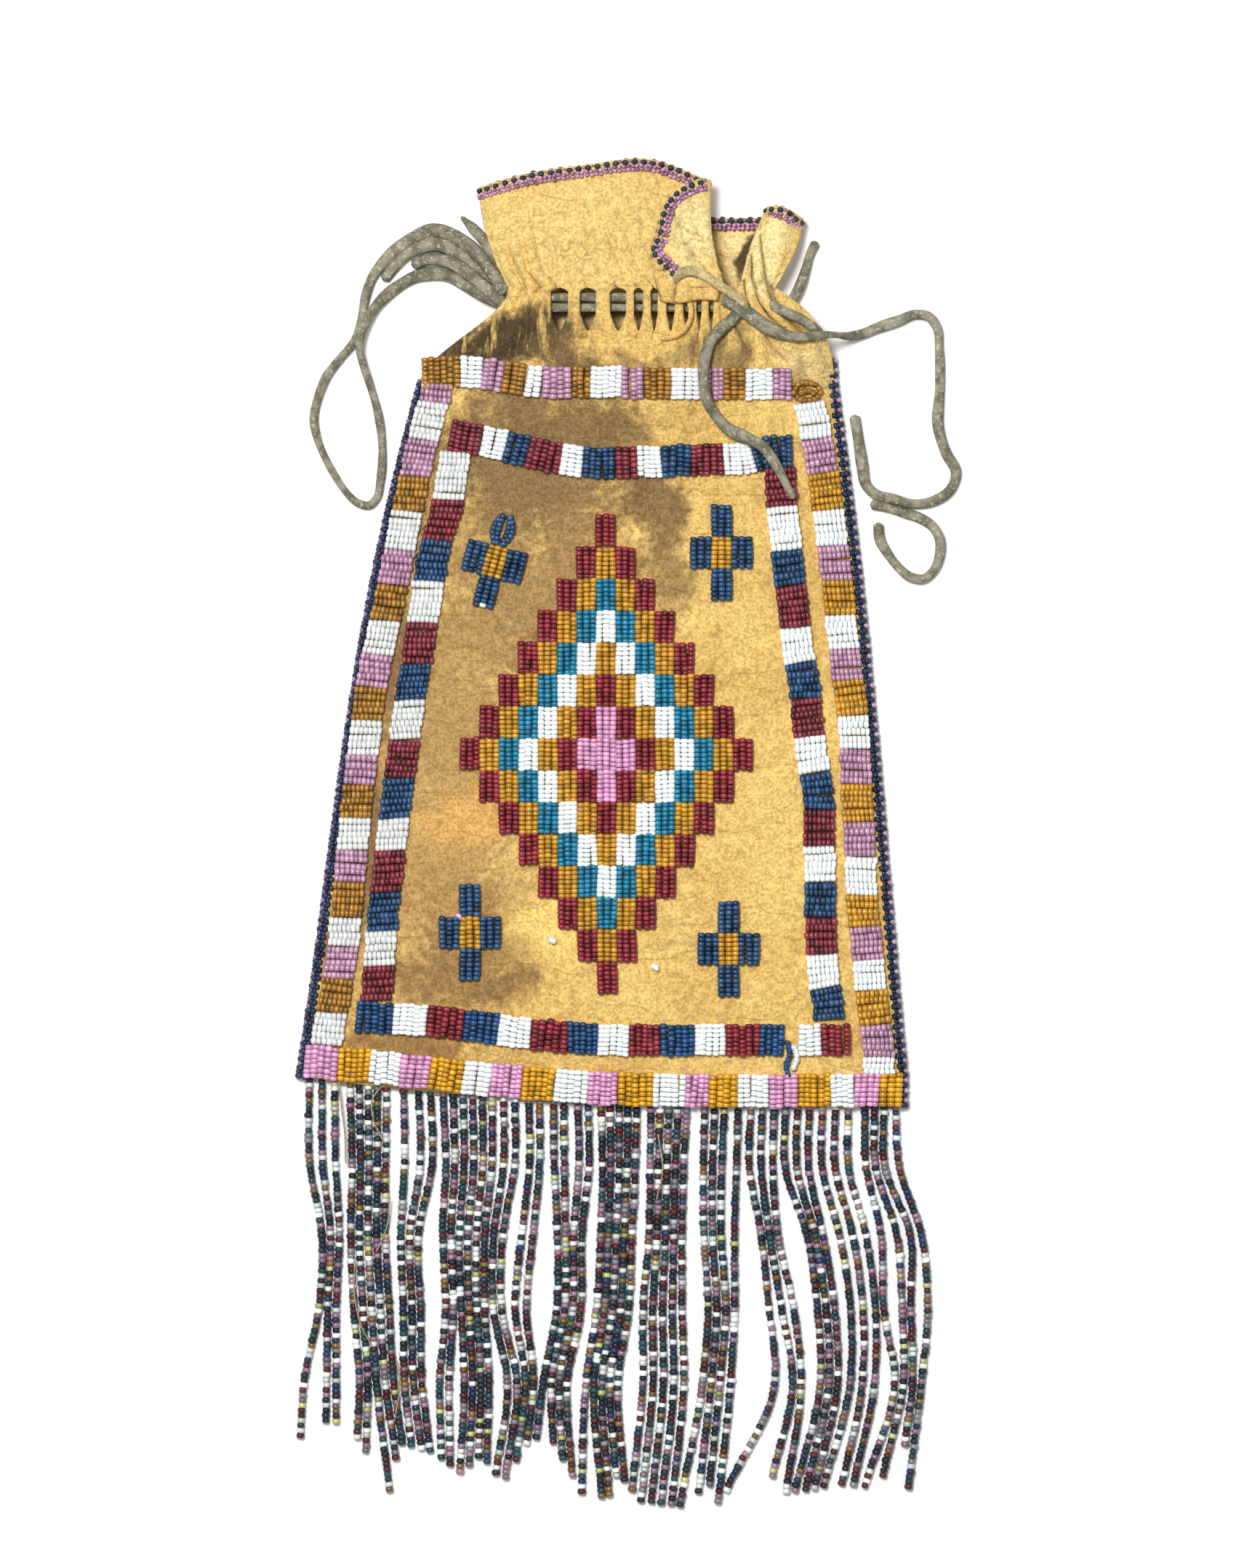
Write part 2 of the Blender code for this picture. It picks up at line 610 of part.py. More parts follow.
def neck_run(name, y, x0, x1, material):
    """A run of the thong held inside the neck, just under the straps of the front panel."""
    count = 12
    path = []
    for number in range(count + 1):
        x = mix(x0, x1, number / count)
        z = front_height(x, y) - HIDE / 2 - FIT - THONG_RADIUS - 0.7 * PLEAT_DEPTH
        path.append(Vector((x, y, z)))
    return tube(name, path, THONG_RADIUS, material)


def build_hides(front_hide, back_hide):
    """The front and back panels. Returns the front's search tree and the rim lines for the bead edging."""
    points, faces, high, top = front_grid()
    tree = surface_tree(sheet("front_panel", points, faces, front_hide))
    back_points, back_faces, back_rim = back_grid()
    sheet("back_panel", back_points, back_faces, back_hide)
    front_rim = [points[column, top] for column in range(FOLD_COLUMN + 1)]
    flap_rim = [points["flap", 4, row] for row in range(high + 1, top + 1)]
    lobe_rim = [points[column, top] for column in range(LOBE_COLUMN, LAST_COLUMN + 1)]
    return tree, (front_rim, flap_rim, lobe_rim, back_rim)


def build_edging(rims, side_beads, rim_beads):
    """Rows of beads whipped over the side seams and over the rims of the collar."""
    clear = FIT + EDGING_RADIUS
    middle = HIDE + FIT / 2
    for name, side, start in (("side_edging_left", -1, TOP_Y), ("side_edging_right", 1, TOP_Y + EDGING_RISE)):
        low = HEM_Y - (0.0 if side < 0 else HEM_DROP)
        path = []
        for number in range(15):
            y = mix(low, start, number / 14)
            path.append(Vector((side_edge(y, side) + side * clear, y, middle)))
        tube(name, path, EDGING_RADIUS, side_beads, resolution=1)
    front_rim, flap_rim, lobe_rim, back_rim = rims
    raised = Vector((0.0, 0.0, EDGING_RADIUS - HIDE / 2))
    tube("rim_edging_front", offset_path(front_rim, clear), EDGING_RADIUS, rim_beads, resolution=1)
    flap = [place + raised for place in offset_path(flap_rim, clear)]
    tube("rim_edging_flap", flap, EDGING_RADIUS, rim_beads, resolution=1)
    tube("rim_edging_lobe", offset_path(lobe_rim, clear), EDGING_RADIUS, rim_beads, resolution=1)
    back = [Vector((place.x, place.y, middle)) for place in offset_path(back_rim, clear)]
    tube("rim_edging_back", back, EDGING_RADIUS, rim_beads, resolution=1)


def build_beadwork(tree, outer, inner, diamond, cross):
    """The two frames of lanes, the stepped diamond and the four crosses, sewn on the front panel."""
    lane("outer_lane_top", below_the_top(TOP_LANE_RISE, (
        (0.012, -1.0), (0.14, -0.97), (0.286, -0.26), (0.446, -0.24), (0.566, -0.1), (0.896, -0.1),
    )), tree, outer)
    lane("outer_lane_left", down_the_side(-1, OUTER_LEFT_INSET, (
        (0.024, 1.16), (0.105, 0.93), (0.211, 1.04), (0.337, 1.04), (0.438, 0.8), (0.537, 0.73), (0.642, 0.91),
        (0.747, 1.07), (0.84, 1.07), (0.946, 1.13),
    )), tree, outer)
    lane("outer_lane_right", down_the_side(1, OUTER_RIGHT_INSET, (
        (0.025, 1.14), (0.1, 1.03), (0.232, 0.96), (0.379, 0.96), (0.479, 0.84), (0.579, 0.94), (0.684, 1.06),
        (0.81, 1.09), (0.9, 1.06), (0.987, 1.03),
    )), tree, outer)
    lane("outer_lane_bottom", above_the_hem(HEM_LANE_INSET, (
        (0.019, 1.06), (0.106, 1.22), (0.226, 1.14), (0.347, 1.02), (0.467, 0.92), (0.588, 0.88), (0.79, 0.98),
        (0.995, 1.0),
    )), tree, outer)
    lane("inner_lane_top", below_the_top(INNER_TOP_INSET, (
        (0.098, 0.7), (0.205, 0.8), (0.325, 0.97), (0.441, 1.07), (0.572, 1.06), (0.704, 1.02), (0.786, 1.0),
        (0.886, 0.9),
    )), tree, inner)
    lane("inner_lane_left", down_the_side(-1, INNER_LEFT_INSET, (
        (0.104, 0.95), (0.168, 1.0), (0.253, 0.97), (0.368, 1.0), (0.479, 1.01), (0.6, 1.03), (0.705, 1.04),
        (0.789, 1.08), (0.886, 1.14),
    )), tree, inner)
    lane("inner_lane_right", down_the_side(1, INNER_RIGHT_INSET, (
        (0.129, 1.0), (0.209, 1.02), (0.326, 1.01), (0.448, 0.99), (0.579, 0.965), (0.705, 1.0), (0.821, 1.05),
        (0.918, 1.085),
    )), tree, inner)
    lane("inner_lane_bottom", above_the_hem(INNER_HEM_INSET, (
        (0.094, 1.01), (0.205, 1.06), (0.308, 1.03), (0.423, 0.96), (0.527, 0.945), (0.67, 0.975),
        (0.802, 0.985),
    )), tree, inner)
    lane("inner_lane_bottom_end", above_the_hem(INNER_HEM_INSET, (
        (0.826, 0.99), (0.867, 0.99), (0.91, 0.99),
    )), tree, inner)
    patch("diamond_medallion", diamond_blocks(), (DIAMOND_X, DIAMOND_Y), 0.0, tree, diamond)
    crosses = (
        ("cross_upper_left", -5.8, 6.1, -15),
        ("cross_upper_right", 5.9, 6.3, 0),
        ("cross_lower_left", -7.0, -5.6, 0),
        ("cross_lower_right", 6.3, -6.1, 0),
    )
    for name, blocks, rows, turn in crosses:
        centre = (DIAMOND_X + blocks * BLOCK_WIDTH, DIAMOND_Y + rows * BLOCK_LENGTH)
        patch(name, CROSS_BLOCKS, centre, math.radians(turn), tree, cross)


def build_thongs(material):
    """The drawstring: runs held inside the neck, and the loose loops and ends that leave it."""
    left, right = NECK_LEFT + THONG_RADIUS, NECK_RIGHT - 4 * THONG_RADIUS
    upper = SLIT_HIGH_Y - HIDE - THONG_RADIUS - FIT
    lower = upper - 2 * THONG_RADIUS - 2 * FIT
    neck_run("neck_thong_upper", upper, left, NECK_LEFT + UPPER_RUN * NECK_WIDTH, material)
    neck_run("neck_thong_lower", lower, left, FOLD_X - THONG_RADIUS, material)
    low = HIDE + BACK_PLEAT_DEPTH + FIT + THONG_RADIUS
    middle = (SLIT_LOW_Y + SLIT_HIGH_Y) / 2
    back = [Vector((mix(left, right, t / 10), middle, low)) for t in range(11)]
    tube("neck_thong_back", back, THONG_RADIUS, material)
    thong("thong_left_loop", (
        (-30.0, 133.1, 6.9), (-31.7, 136.0, 6.6), (-34.1, 139.7, 6.0), (-37.2, 143.9, 4.4),
        (-41.1, 147.8, 2.6), (-46.2, 151.1, 1.6), (-52.1, 152.5, 1.5), (-59.0, 149.8, 1.5),
        (-65.8, 144.3, 1.5), (-70.4, 138.6, 1.5), (-72.6, 132.4, 1.5), (-73.9, 125.4, 1.5),
        (-75.9, 119.2, 1.5), (-80.1, 114.0, 1.5), (-84.3, 108.5, 1.5), (-86.9, 102.1, 1.5),
        (-88.2, 95.3, 1.5), (-86.9, 88.9, 1.5), (-84.5, 83.2, 1.5), (-81.4, 77.7, 1.5), (-78.1, 73.0, 1.5),
        (-74.6, 70.0, 1.5), (-71.4, 69.4, 1.5), (-69.2, 71.6, 1.5), (-68.1, 76.6, 1.5), (-67.5, 82.5, 1.5),
        (-67.6, 89.1, 1.5), (-68.9, 97.9, 1.5), (-71.1, 105.6, 1.8), (-73.3, 112.2, 3.4),
        (-74.4, 117.0, 4.6), (-73.9, 121.4, 4.7), (-72.0, 125.8, 4.0), (-68.2, 131.0, 1.9),
        (-62.9, 135.6, 1.5), (-56.3, 139.0, 1.5), (-48.8, 139.4, 1.5), (-42.2, 136.2, 1.9),
        (-36.1, 132.6, 3.1), (-30.0, 129.9, 3.9),
    ), material)
    thong("thong_left_end", (
        (-21.6, 137.0, 4.6), (-24.6, 137.0, 4.5), (-27.6, 137.2, 4.4), (-30.2, 138.4, 4.2), (-31.8, 140.8, 4.2),
        (-33.2, 143.9, 4.2), (-35.8, 148.5, 4.2), (-39.4, 152.6, 3.6), (-43.6, 156.8, 2.6),
    ), material)
    thong("thong_left_upper", (
        (-30.0, 133.1, 3.9), (-34.3, 136.6, 3.2), (-38.9, 141.0, 1.6), (-44.4, 145.6, 1.5),
        (-51.0, 148.5, 1.5), (-57.8, 146.8, 1.5), (-63.6, 142.1, 1.5), (-67.2, 137.4, 1.5),
    ), material)
    thong("thong_left_lower", (
        (-30.0, 129.9, 6.9), (-35.2, 134.4, 5.8), (-41.1, 139.4, 4.3), (-47.4, 143.2, 2.4),
        (-53.6, 143.9, 1.6), (-58.6, 142.0, 1.5),
    ), material)
    thong("thong_right_main", (
        (35.2, 132.0, 17.0), (39.2, 130.0, 17.1), (42.9, 127.4, 17.0), (46.6, 124.5, 16.9),
        (51.0, 121.9, 16.8), (56.1, 120.3, 16.3), (60.5, 120.2, 15.8), (64.7, 120.6, 14.5),
        (67.9, 120.8, 12.6), (70.8, 120.7, 9.4), (73.3, 120.5, 5.8), (75.8, 120.8, 2.8), (78.6, 121.5, 1.6),
        (82.1, 123.0, 1.5), (88.7, 125.2, 1.5), (94.2, 127.2, 1.5), (98.1, 126.5, 1.5), (100.5, 123.2, 1.5),
        (101.2, 116.6, 1.5), (101.4, 105.6, 1.5), (101.0, 92.4, 1.5), (103.2, 85.4, 1.5),
        (106.3, 79.2, 1.5), (104.5, 74.1, 1.5), (99.2, 70.6, 1.5), (93.5, 69.8, 1.5), (87.1, 71.3, 1.5),
        (82.1, 72.6, 1.5), (79.2, 75.4, 1.5), (77.9, 81.4, 1.5), (76.9, 88.0, 1.5), (75.5, 96.8, 1.5),
    ), material)
    thong("thong_right_loop", (
        (80.3, 69.9, 1.5), (85.4, 68.8, 1.5), (90.4, 67.2, 1.5), (95.3, 65.6, 1.5), (99.2, 63.0, 1.5),
        (101.4, 59.0, 1.5), (101.4, 54.6, 1.5), (99.7, 49.9, 1.5), (96.4, 47.1, 1.5), (92.4, 47.7, 1.5),
        (88.9, 50.6, 1.5), (85.6, 54.8, 1.5), (83.2, 59.2, 1.5), (82.8, 62.4, 1.5), (82.8, 64.2, 1.5),
    ), material)
    thong("thong_front_end", (
        (37.6, 124.6, 16.6), (35.2, 122.6, 16.6), (32.3, 119.4, 16.6), (30.4, 114.4, 17.0),
        (29.7, 108.9, 17.5), (29.9, 105.5, 17.3), (30.4, 102.3, 16.5), (33.2, 96.8, 13.0),
        (37.2, 92.4, 12.2), (43.1, 89.5, 13.3), (48.0, 86.7, 13.3), (51.5, 81.8, 12.4), (54.6, 75.9, 11.9),
        (57.2, 71.1, 11.6),
    ), material)
    thong("thong_back_end", (
        (46.6, 128.5, 3.3), (49.6, 128.5, 3.3), (52.6, 128.6, 3.3), (55.2, 129.6, 3.3), (57.2, 132.4, 3.2),
        (59.0, 136.0, 2.8), (60.6, 140.4, 2.0), (62.0, 145.2, 1.5), (64.0, 149.4, 1.5),
    ), material)


def main():
    clear_scene()
    front_hide = finish("front_hide", (0.66, 0.44, 0.17), 0.85)
    back_hide = finish("back_hide", (0.62, 0.43, 0.19), 0.88)
    side_beads = finish("side_edging_beads", (0.05, 0.06, 0.12), 0.25)
    rim_beads = finish("rim_edging_beads", (0.12, 0.10, 0.12), 0.25)
    outer = finish("outer_lane_beads", (0.72, 0.60, 0.62), 0.25)
    inner = finish("inner_lane_beads", (0.30, 0.10, 0.14), 0.25)
    diamond = finish("diamond_beads", (0.35, 0.10, 0.06), 0.25)
    cross = finish("cross_beads", (0.03, 0.06, 0.16), 0.25)
    strands = finish("fringe_beads", (0.22, 0.20, 0.21), 0.3)
    leather = finish("thong_leather", (0.42, 0.40, 0.32), 0.9)
    tree, rims = build_hides(front_hide, back_hide)
    build_edging(rims, side_beads, rim_beads)
    build_beadwork(tree, outer, inner, diamond, cross)
    build_thongs(leather)
    build_fringe(strands)


main()
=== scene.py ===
"""A beaded medicine bag of tanned hide, lying on its back for a plain studio picture.

X runs to the right of the beaded front, Y from the fringe to the mouth, and Z up from the table, in metres.
"""

import math

import bpy
import numpy as np
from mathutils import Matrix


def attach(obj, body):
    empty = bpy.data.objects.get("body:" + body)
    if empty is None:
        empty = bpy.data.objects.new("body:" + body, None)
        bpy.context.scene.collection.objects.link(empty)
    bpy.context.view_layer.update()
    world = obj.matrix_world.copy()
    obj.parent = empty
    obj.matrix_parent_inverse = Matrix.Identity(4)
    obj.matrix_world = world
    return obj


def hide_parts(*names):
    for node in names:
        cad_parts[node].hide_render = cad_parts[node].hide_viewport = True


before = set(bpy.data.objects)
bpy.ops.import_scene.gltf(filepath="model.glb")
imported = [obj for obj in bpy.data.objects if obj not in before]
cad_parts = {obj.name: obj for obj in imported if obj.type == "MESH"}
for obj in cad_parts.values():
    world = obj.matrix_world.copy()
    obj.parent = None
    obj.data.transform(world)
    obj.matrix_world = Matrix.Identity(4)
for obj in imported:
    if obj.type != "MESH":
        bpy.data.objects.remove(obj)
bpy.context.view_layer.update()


# The picture is taken from straight above with a long lens, so the bag shows no perspective.
# It is 1726 by 2156 pixels, and one of its pixels is 0.22 mm on the bag, at the height of the front.
MM = 0.001
PIXEL = 0.22 * MM
IMAGE_WIDTH, IMAGE_HEIGHT = 1726, 2156
ORIGIN_X, ORIGIN_Y = 832, 1010
SENSOR_HEIGHT = 24.0
CAMERA_HEIGHT = 6.0
SCALE_HEIGHT = 8 * MM
CAMERA_PLACE = (6.8 * MM, -15.0 * MM, CAMERA_HEIGHT)

camera_data = bpy.data.cameras.new("camera_above")
camera_data.sensor_fit = "VERTICAL"
camera_data.sensor_height = SENSOR_HEIGHT
camera_data.sensor_width = SENSOR_HEIGHT * IMAGE_WIDTH / IMAGE_HEIGHT
camera_data.lens = SENSOR_HEIGHT * (CAMERA_HEIGHT - SCALE_HEIGHT) / (IMAGE_HEIGHT * PIXEL)
camera = bpy.data.objects.new("camera_above", camera_data)
camera.location = CAMERA_PLACE
bpy.context.scene.collection.objects.link(camera)
bpy.context.scene.camera = camera
bpy.context.scene.view_settings.view_transform = "Standard"


def on_the_bag(pixels):
    """Places on the bag, in metres, of pixels: x = (px - origin) * pixel size, y = (origin - py) * pixel size."""
    pixels = np.asarray(pixels, dtype=float)
    return np.stack([(pixels[..., 0] - ORIGIN_X) * PIXEL, (ORIGIN_Y - pixels[..., 1]) * PIXEL], axis=-1)


# The table is a plain white sheet, and the room is white too. The bag's soft shadow stays on the sheet.
# A soft lamp hangs a little up and to the left of the camera, and the room's white walls fill in the rest.
class Tree:
    """The node tree of one material, with one method that adds any node."""

    def __init__(self, data):
        data.use_nodes = True
        self.nodes = data.node_tree.nodes
        self.links = data.node_tree.links

    def feed(self, socket, value):
        """Gives a socket its value, or links it to the value of another node."""
        if isinstance(value, Value):
            self.links.new(value.socket, socket)
        else:
            socket.default_value = value

    def node(self, kind, settings=None, sockets=None, out=0):
        """Adds a node: first its settings, then the values or links of its sockets. Gives the outputs named by out."""
        made = self.nodes.new(kind)
        for name, setting in (settings or {}).items():
            setattr(made, name, setting)
        for name, value in (sockets or {}).items():
            self.feed(made.inputs[name], value)
        if isinstance(out, tuple):
            return tuple(Value(self, made.outputs[name]) for name in out)
        return Value(self, made.outputs[out])


class Value:
    """The number that a socket gives. Python's operators on it add the Math nodes."""

    def __init__(self, tree, socket):
        self.tree = tree
        self.socket = socket

    def math(self, operation, *terms):
        """One Math node: the operation on this value and the other terms."""
        sockets = dict(enumerate((self, *terms)))
        return self.tree.node("ShaderNodeMath", {"operation": operation}, sockets)

    def __add__(self, other):
        return self.math("ADD", other)

    __radd__ = __add__

    def __sub__(self, other):
        return self.math("SUBTRACT", other)

    def __rsub__(self, other):
        return self.tree.node("ShaderNodeMath", {"operation": "SUBTRACT"}, {0: other, 1: self})

    def __mul__(self, other):
        return self.math("MULTIPLY", other)

    __rmul__ = __mul__

    def __truediv__(self, other):
        return self.math("DIVIDE", other)

    def rise(self, low, high):
        """0 below low, 1 above high, and a smooth step between them."""
        sockets = {"Value": self, "From Min": low, "From Max": high}
        return self.tree.node("ShaderNodeMapRange", {"interpolation_type": "SMOOTHSTEP"}, sockets)

    def between(self, low, high):
        """The value held between two numbers."""
        return self.math("MAXIMUM", low).math("MINIMUM", high)


def seen_directly(tree):
    """1 for rays from the camera, and for those that gloss or glass sends on."""
    camera_ray, glossy_ray, transmission_ray = tree.node(
        "ShaderNodeLightPath", out=("Is Camera Ray", "Is Glossy Ray", "Is Transmission Ray")
    )
    return (camera_ray + glossy_ray + transmission_ray).between(0.0, 1.0)


SHEET_SIZE = 6.0
SHEET_DROP = 0.05 * MM
SHADOW_KEPT = 0.92
ROOM_FILL = 0.33
LAMP_SIZE = 0.5
LAMP_POWER = 47.0
LAMP_PLACE = (-0.45, 0.6, 2.2)

paper = bpy.data.materials.new("white_sheet")
tree = Tree(paper)
tree.nodes.clear()
matt = tree.node("ShaderNodeBsdfDiffuse", None, {"Color": (0.97, 0.97, 0.97, 1.0)})
plain = tree.node("ShaderNodeEmission", None, {"Color": (1.0, 1.0, 1.0, 1.0), "Strength": 1.0})
share = seen_directly(tree) * (1.0 - SHADOW_KEPT)
mixed = tree.node("ShaderNodeMixShader", None, {0: share, 1: matt, 2: plain})
tree.node("ShaderNodeOutputMaterial", None, {"Surface": mixed}, out=())

half = SHEET_SIZE / 2
corner_signs = ((-1, -1), (1, -1), (1, 1), (-1, 1))
table_mesh = bpy.data.meshes.new("table_sheet")
table_mesh.from_pydata([(x * half, y * half, -SHEET_DROP) for x, y in corner_signs], [], [(0, 1, 2, 3)])
table_mesh.materials.append(paper)
table = bpy.data.objects.new("table_sheet", table_mesh)
bpy.context.scene.collection.objects.link(table)

room = bpy.data.worlds.new("white_room")
bpy.context.scene.world = room
tree = Tree(room)
tree.nodes.clear()
brightness = ROOM_FILL + seen_directly(tree) * (1.0 - ROOM_FILL)
glow = tree.node("ShaderNodeBackground", None, {"Color": (1.0, 1.0, 1.0, 1.0), "Strength": brightness})
tree.node("ShaderNodeOutputWorld", None, {"Surface": glow}, out=())

lamp_data = bpy.data.lights.new("soft_lamp", "AREA")
lamp_data.shape = "SQUARE"
lamp_data.size = LAMP_SIZE
lamp_data.energy = LAMP_POWER
lamp = bpy.data.objects.new("soft_lamp", lamp_data)
lamp.location = LAMP_PLACE
reach = math.hypot(LAMP_PLACE[0], LAMP_PLACE[1])
lamp.rotation_euler = (math.atan2(reach, LAMP_PLACE[2]), 0.0, math.atan2(LAMP_PLACE[0], -LAMP_PLACE[1]))
bpy.context.scene.collection.objects.link(lamp)


# The drawstring is one thong cut from soft hide, 2.6 mm across, grey-olive and worn pale in flecks.
# It runs behind the straps of the front and inside the back of the neck, and comes out in loops and ends at both sides.
THONG = 2.6 * MM
THONG_STEP = 0.8 * MM
THONG_SIDES = 10
END_ROUNDING, POINT_LENGTH = 0.8 * MM, 5 * MM
LYING = 1.5


def curve_through(stations, places):
    """Values on a smooth curve through rows of (place, value, ...): cubic pieces, level with the neighbours' slope."""
    table = np.asarray(stations, dtype=float)
    knots, values = table[:, 0], table[:, 1:]
    slopes = np.gradient(values, knots, axis=0)
    place = np.clip(places, knots[0], knots[-1])
    cell = np.clip(np.searchsorted(knots, place, side="right") - 1, 0, len(knots) - 2)
    span = (knots[cell + 1] - knots[cell])[..., None]
    t = (place - knots[cell])[..., None] / span
    low, high = values[cell], values[cell + 1]
    out, into = slopes[cell] * span, slopes[cell + 1] * span
    return (low * (2 * t**3 - 3 * t**2 + 1) + out * (t**3 - 2 * t**2 + t)
            + high * (3 * t**2 - 2 * t**3) + into * (t**3 - t**2))


def lengths_along(points):
    """How far along a line each of its points is."""
    return np.concatenate([[0.0], np.cumsum(np.linalg.norm(np.diff(points, axis=0), axis=1))])


def run_along(points, step):
    """Points a step apart on a smooth curve through a route's own points."""
    points = np.asarray(points, dtype=float)
    stations = np.column_stack([lengths_along(points), points])
    fine = curve_through(stations, np.linspace(0.0, stations[-1, 0], 30 * len(points)))
    along = lengths_along(fine)
    places = np.linspace(0.0, along[-1], max(round(along[-1] / step), 2) + 1)
    return np.column_stack([np.interp(places, along, column) for column in fine.T])


def grid_corners(rows, columns, wrapped=False):
    """The four corners, by number, of each cell of a grid of points. A wrapped grid closes last column to first."""
    row, column = np.meshgrid(np.arange(rows - 1), np.arange(columns - (not wrapped)), indexing="ij")
    beside = (column + 1) % columns
    near, far = row * columns, (row + 1) * columns
    return np.stack([near + column, near + beside, far + beside, far + column], axis=-1).reshape(-1, 4)


def smooth_mesh(name, vertices, corners, sides, materials, face_material=None):
    """A smooth mesh from the corners of all its faces in one row, and the number of sides of each face."""
    mesh = bpy.data.meshes.new(name)
    mesh.vertices.add(len(vertices))
    mesh.vertices.foreach_set("co", vertices.astype(np.float32).ravel())
    mesh.loops.add(len(corners))
    mesh.loops.foreach_set("vertex_index", corners.astype(np.int32))
    mesh.polygons.add(len(sides))
    mesh.polygons.foreach_set("loop_start", np.concatenate([[0], np.cumsum(sides)[:-1]]).astype(np.int32))
    for material in materials:
        mesh.materials.append(material)
    if face_material is not None:
        mesh.polygons.foreach_set("material_index", face_material.astype(np.int32))
    mesh.update(calc_edges=True)
    mesh.shade_smooth()
    return mesh


def add_piece(name, mesh, node=None):
    """A piece at the origin, with its place in its mesh. It rides the bag, and stands for a CAD node if it has one."""
    piece = bpy.data.objects.new(name, mesh)
    bpy.context.scene.collection.objects.link(piece)
    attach(piece, "root")
    if node:
        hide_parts(node)
    return piece


def frames_along(centre):
    """For each point of a line: its direction, the level direction to its left, and the direction up from both."""
    run = np.gradient(centre, axis=0)
    run /= np.linalg.norm(run, axis=1, keepdims=True)
    left = np.stack([-run[:, 1], run[:, 0], np.zeros(len(run))], axis=1)
    left /= np.maximum(np.linalg.norm(left, axis=1, keepdims=True), 1e-6)
    return run, left, np.cross(run, left)


def angles_round(sides):
    """The angles of the corners of one ring."""
    return np.arange(sides) * 2 * math.pi / sides


def tube_points(centre, radius, sides):
    """Rings of points round a line: point = centre + radius * (cos(angle) * left + sin(angle) * up)."""
    run, left, up = frames_along(centre)
    angle = angles_round(sides)[None, :, None]
    radius = np.broadcast_to(np.asarray(radius, dtype=float), (len(centre), sides))[..., None]
    return centre[:, None] + radius * (np.cos(angle) * left[:, None] + np.sin(angle) * up[:, None])


def ring_grid(rings, sides):
    """Corners and sides of the faces between rings of points, then of the faces that close both ends."""
    count = rings * sides
    quads = grid_corners(rings, sides, wrapped=True)
    corners = np.concatenate([quads.ravel(), np.arange(sides)[::-1], np.arange(count - sides, count)])
    return corners, np.concatenate([np.full(len(quads), 4), [sides, sides]])


def soft_tube(name, centre, radius, material, node=None):
    """A tube along a line, with both ends closed, as one piece."""
    points = tube_points(centre, radius, THONG_SIDES).reshape(-1, 3)
    return add_piece(name, smooth_mesh(name, points, *ring_grid(len(centre), THONG_SIDES), [material]), node)


class Finish(Tree):
    """A material on the pieces' own coordinates."""

    def __init__(self, name):
        self.material = bpy.data.materials.new(name)
        super().__init__(self.material)
        self.place = self.node("ShaderNodeTexCoord", out="Object")

    def noise(self, scale, detail, roughness=0.5, vector=None, distortion=0.0):
        """Noise from 0 to 1, on the pieces' own coordinates unless a vector is given."""
        return self.node("ShaderNodeTexNoise", None, {
            "Vector": vector or self.place, "Scale": scale, "Detail": detail, "Roughness": roughness,
            "Distortion": distortion}, out="Fac")

    def blend(self, factor, first, second, way="MIX"):
        """A colour that goes from the first to the second as the factor goes from 0 to 1."""
        settings = {"data_type": "RGBA", "blend_type": way}
        return self.node("ShaderNodeMix", settings, {0: factor, 6: first, 7: second}, out=2)

    def attribute(self, name, out):
        """A value that the piece's mesh carries."""
        return self.node("ShaderNodeAttribute", {"attribute_name": name}, out=out)

    def done(self, sockets, bump=None):
        """Feeds the shader's sockets, and its normal from a bump of (strength, distance, height)."""
        if bump:
            strength, distance, height = bump
            sockets["Normal"] = self.node("ShaderNodeBump", None, {
                "Strength": strength, "Distance": distance, "Height": height})
        for name, value in sockets.items():
            self.feed(self.nodes["Principled BSDF"].inputs[name], value)
        return self.material


def lace_leather():
    """Grey-olive suede lace: a mottled colour, pale worn flecks where it has rubbed, and a fine nap."""
    finish = Finish("grey_olive_lace")
    mottle, flecks, nap = finish.noise(260.0, 3.0), finish.noise(900.0, 4.0, 0.7), finish.noise(2600.0, 2.0)
    ground = finish.blend(mottle.rise(0.35, 0.65), (0.15, 0.14, 0.095, 1.0), (0.30, 0.28, 0.195, 1.0))
    worn = (flecks.rise(0.52, 0.68) * 0.75 + mottle.rise(0.45, 0.8) * 0.15).between(0.0, 1.0)
    colour = finish.blend(worn, ground, (0.66, 0.62, 0.49, 1.0))
    return finish.done({"Base Color": colour, "Roughness": 0.85 + nap * 0.12, "Specular IOR Level": 0.25},
                       (0.7, 0.35 * MM, flecks * 0.6 + nap * 0.4))


LACE = lace_leather()


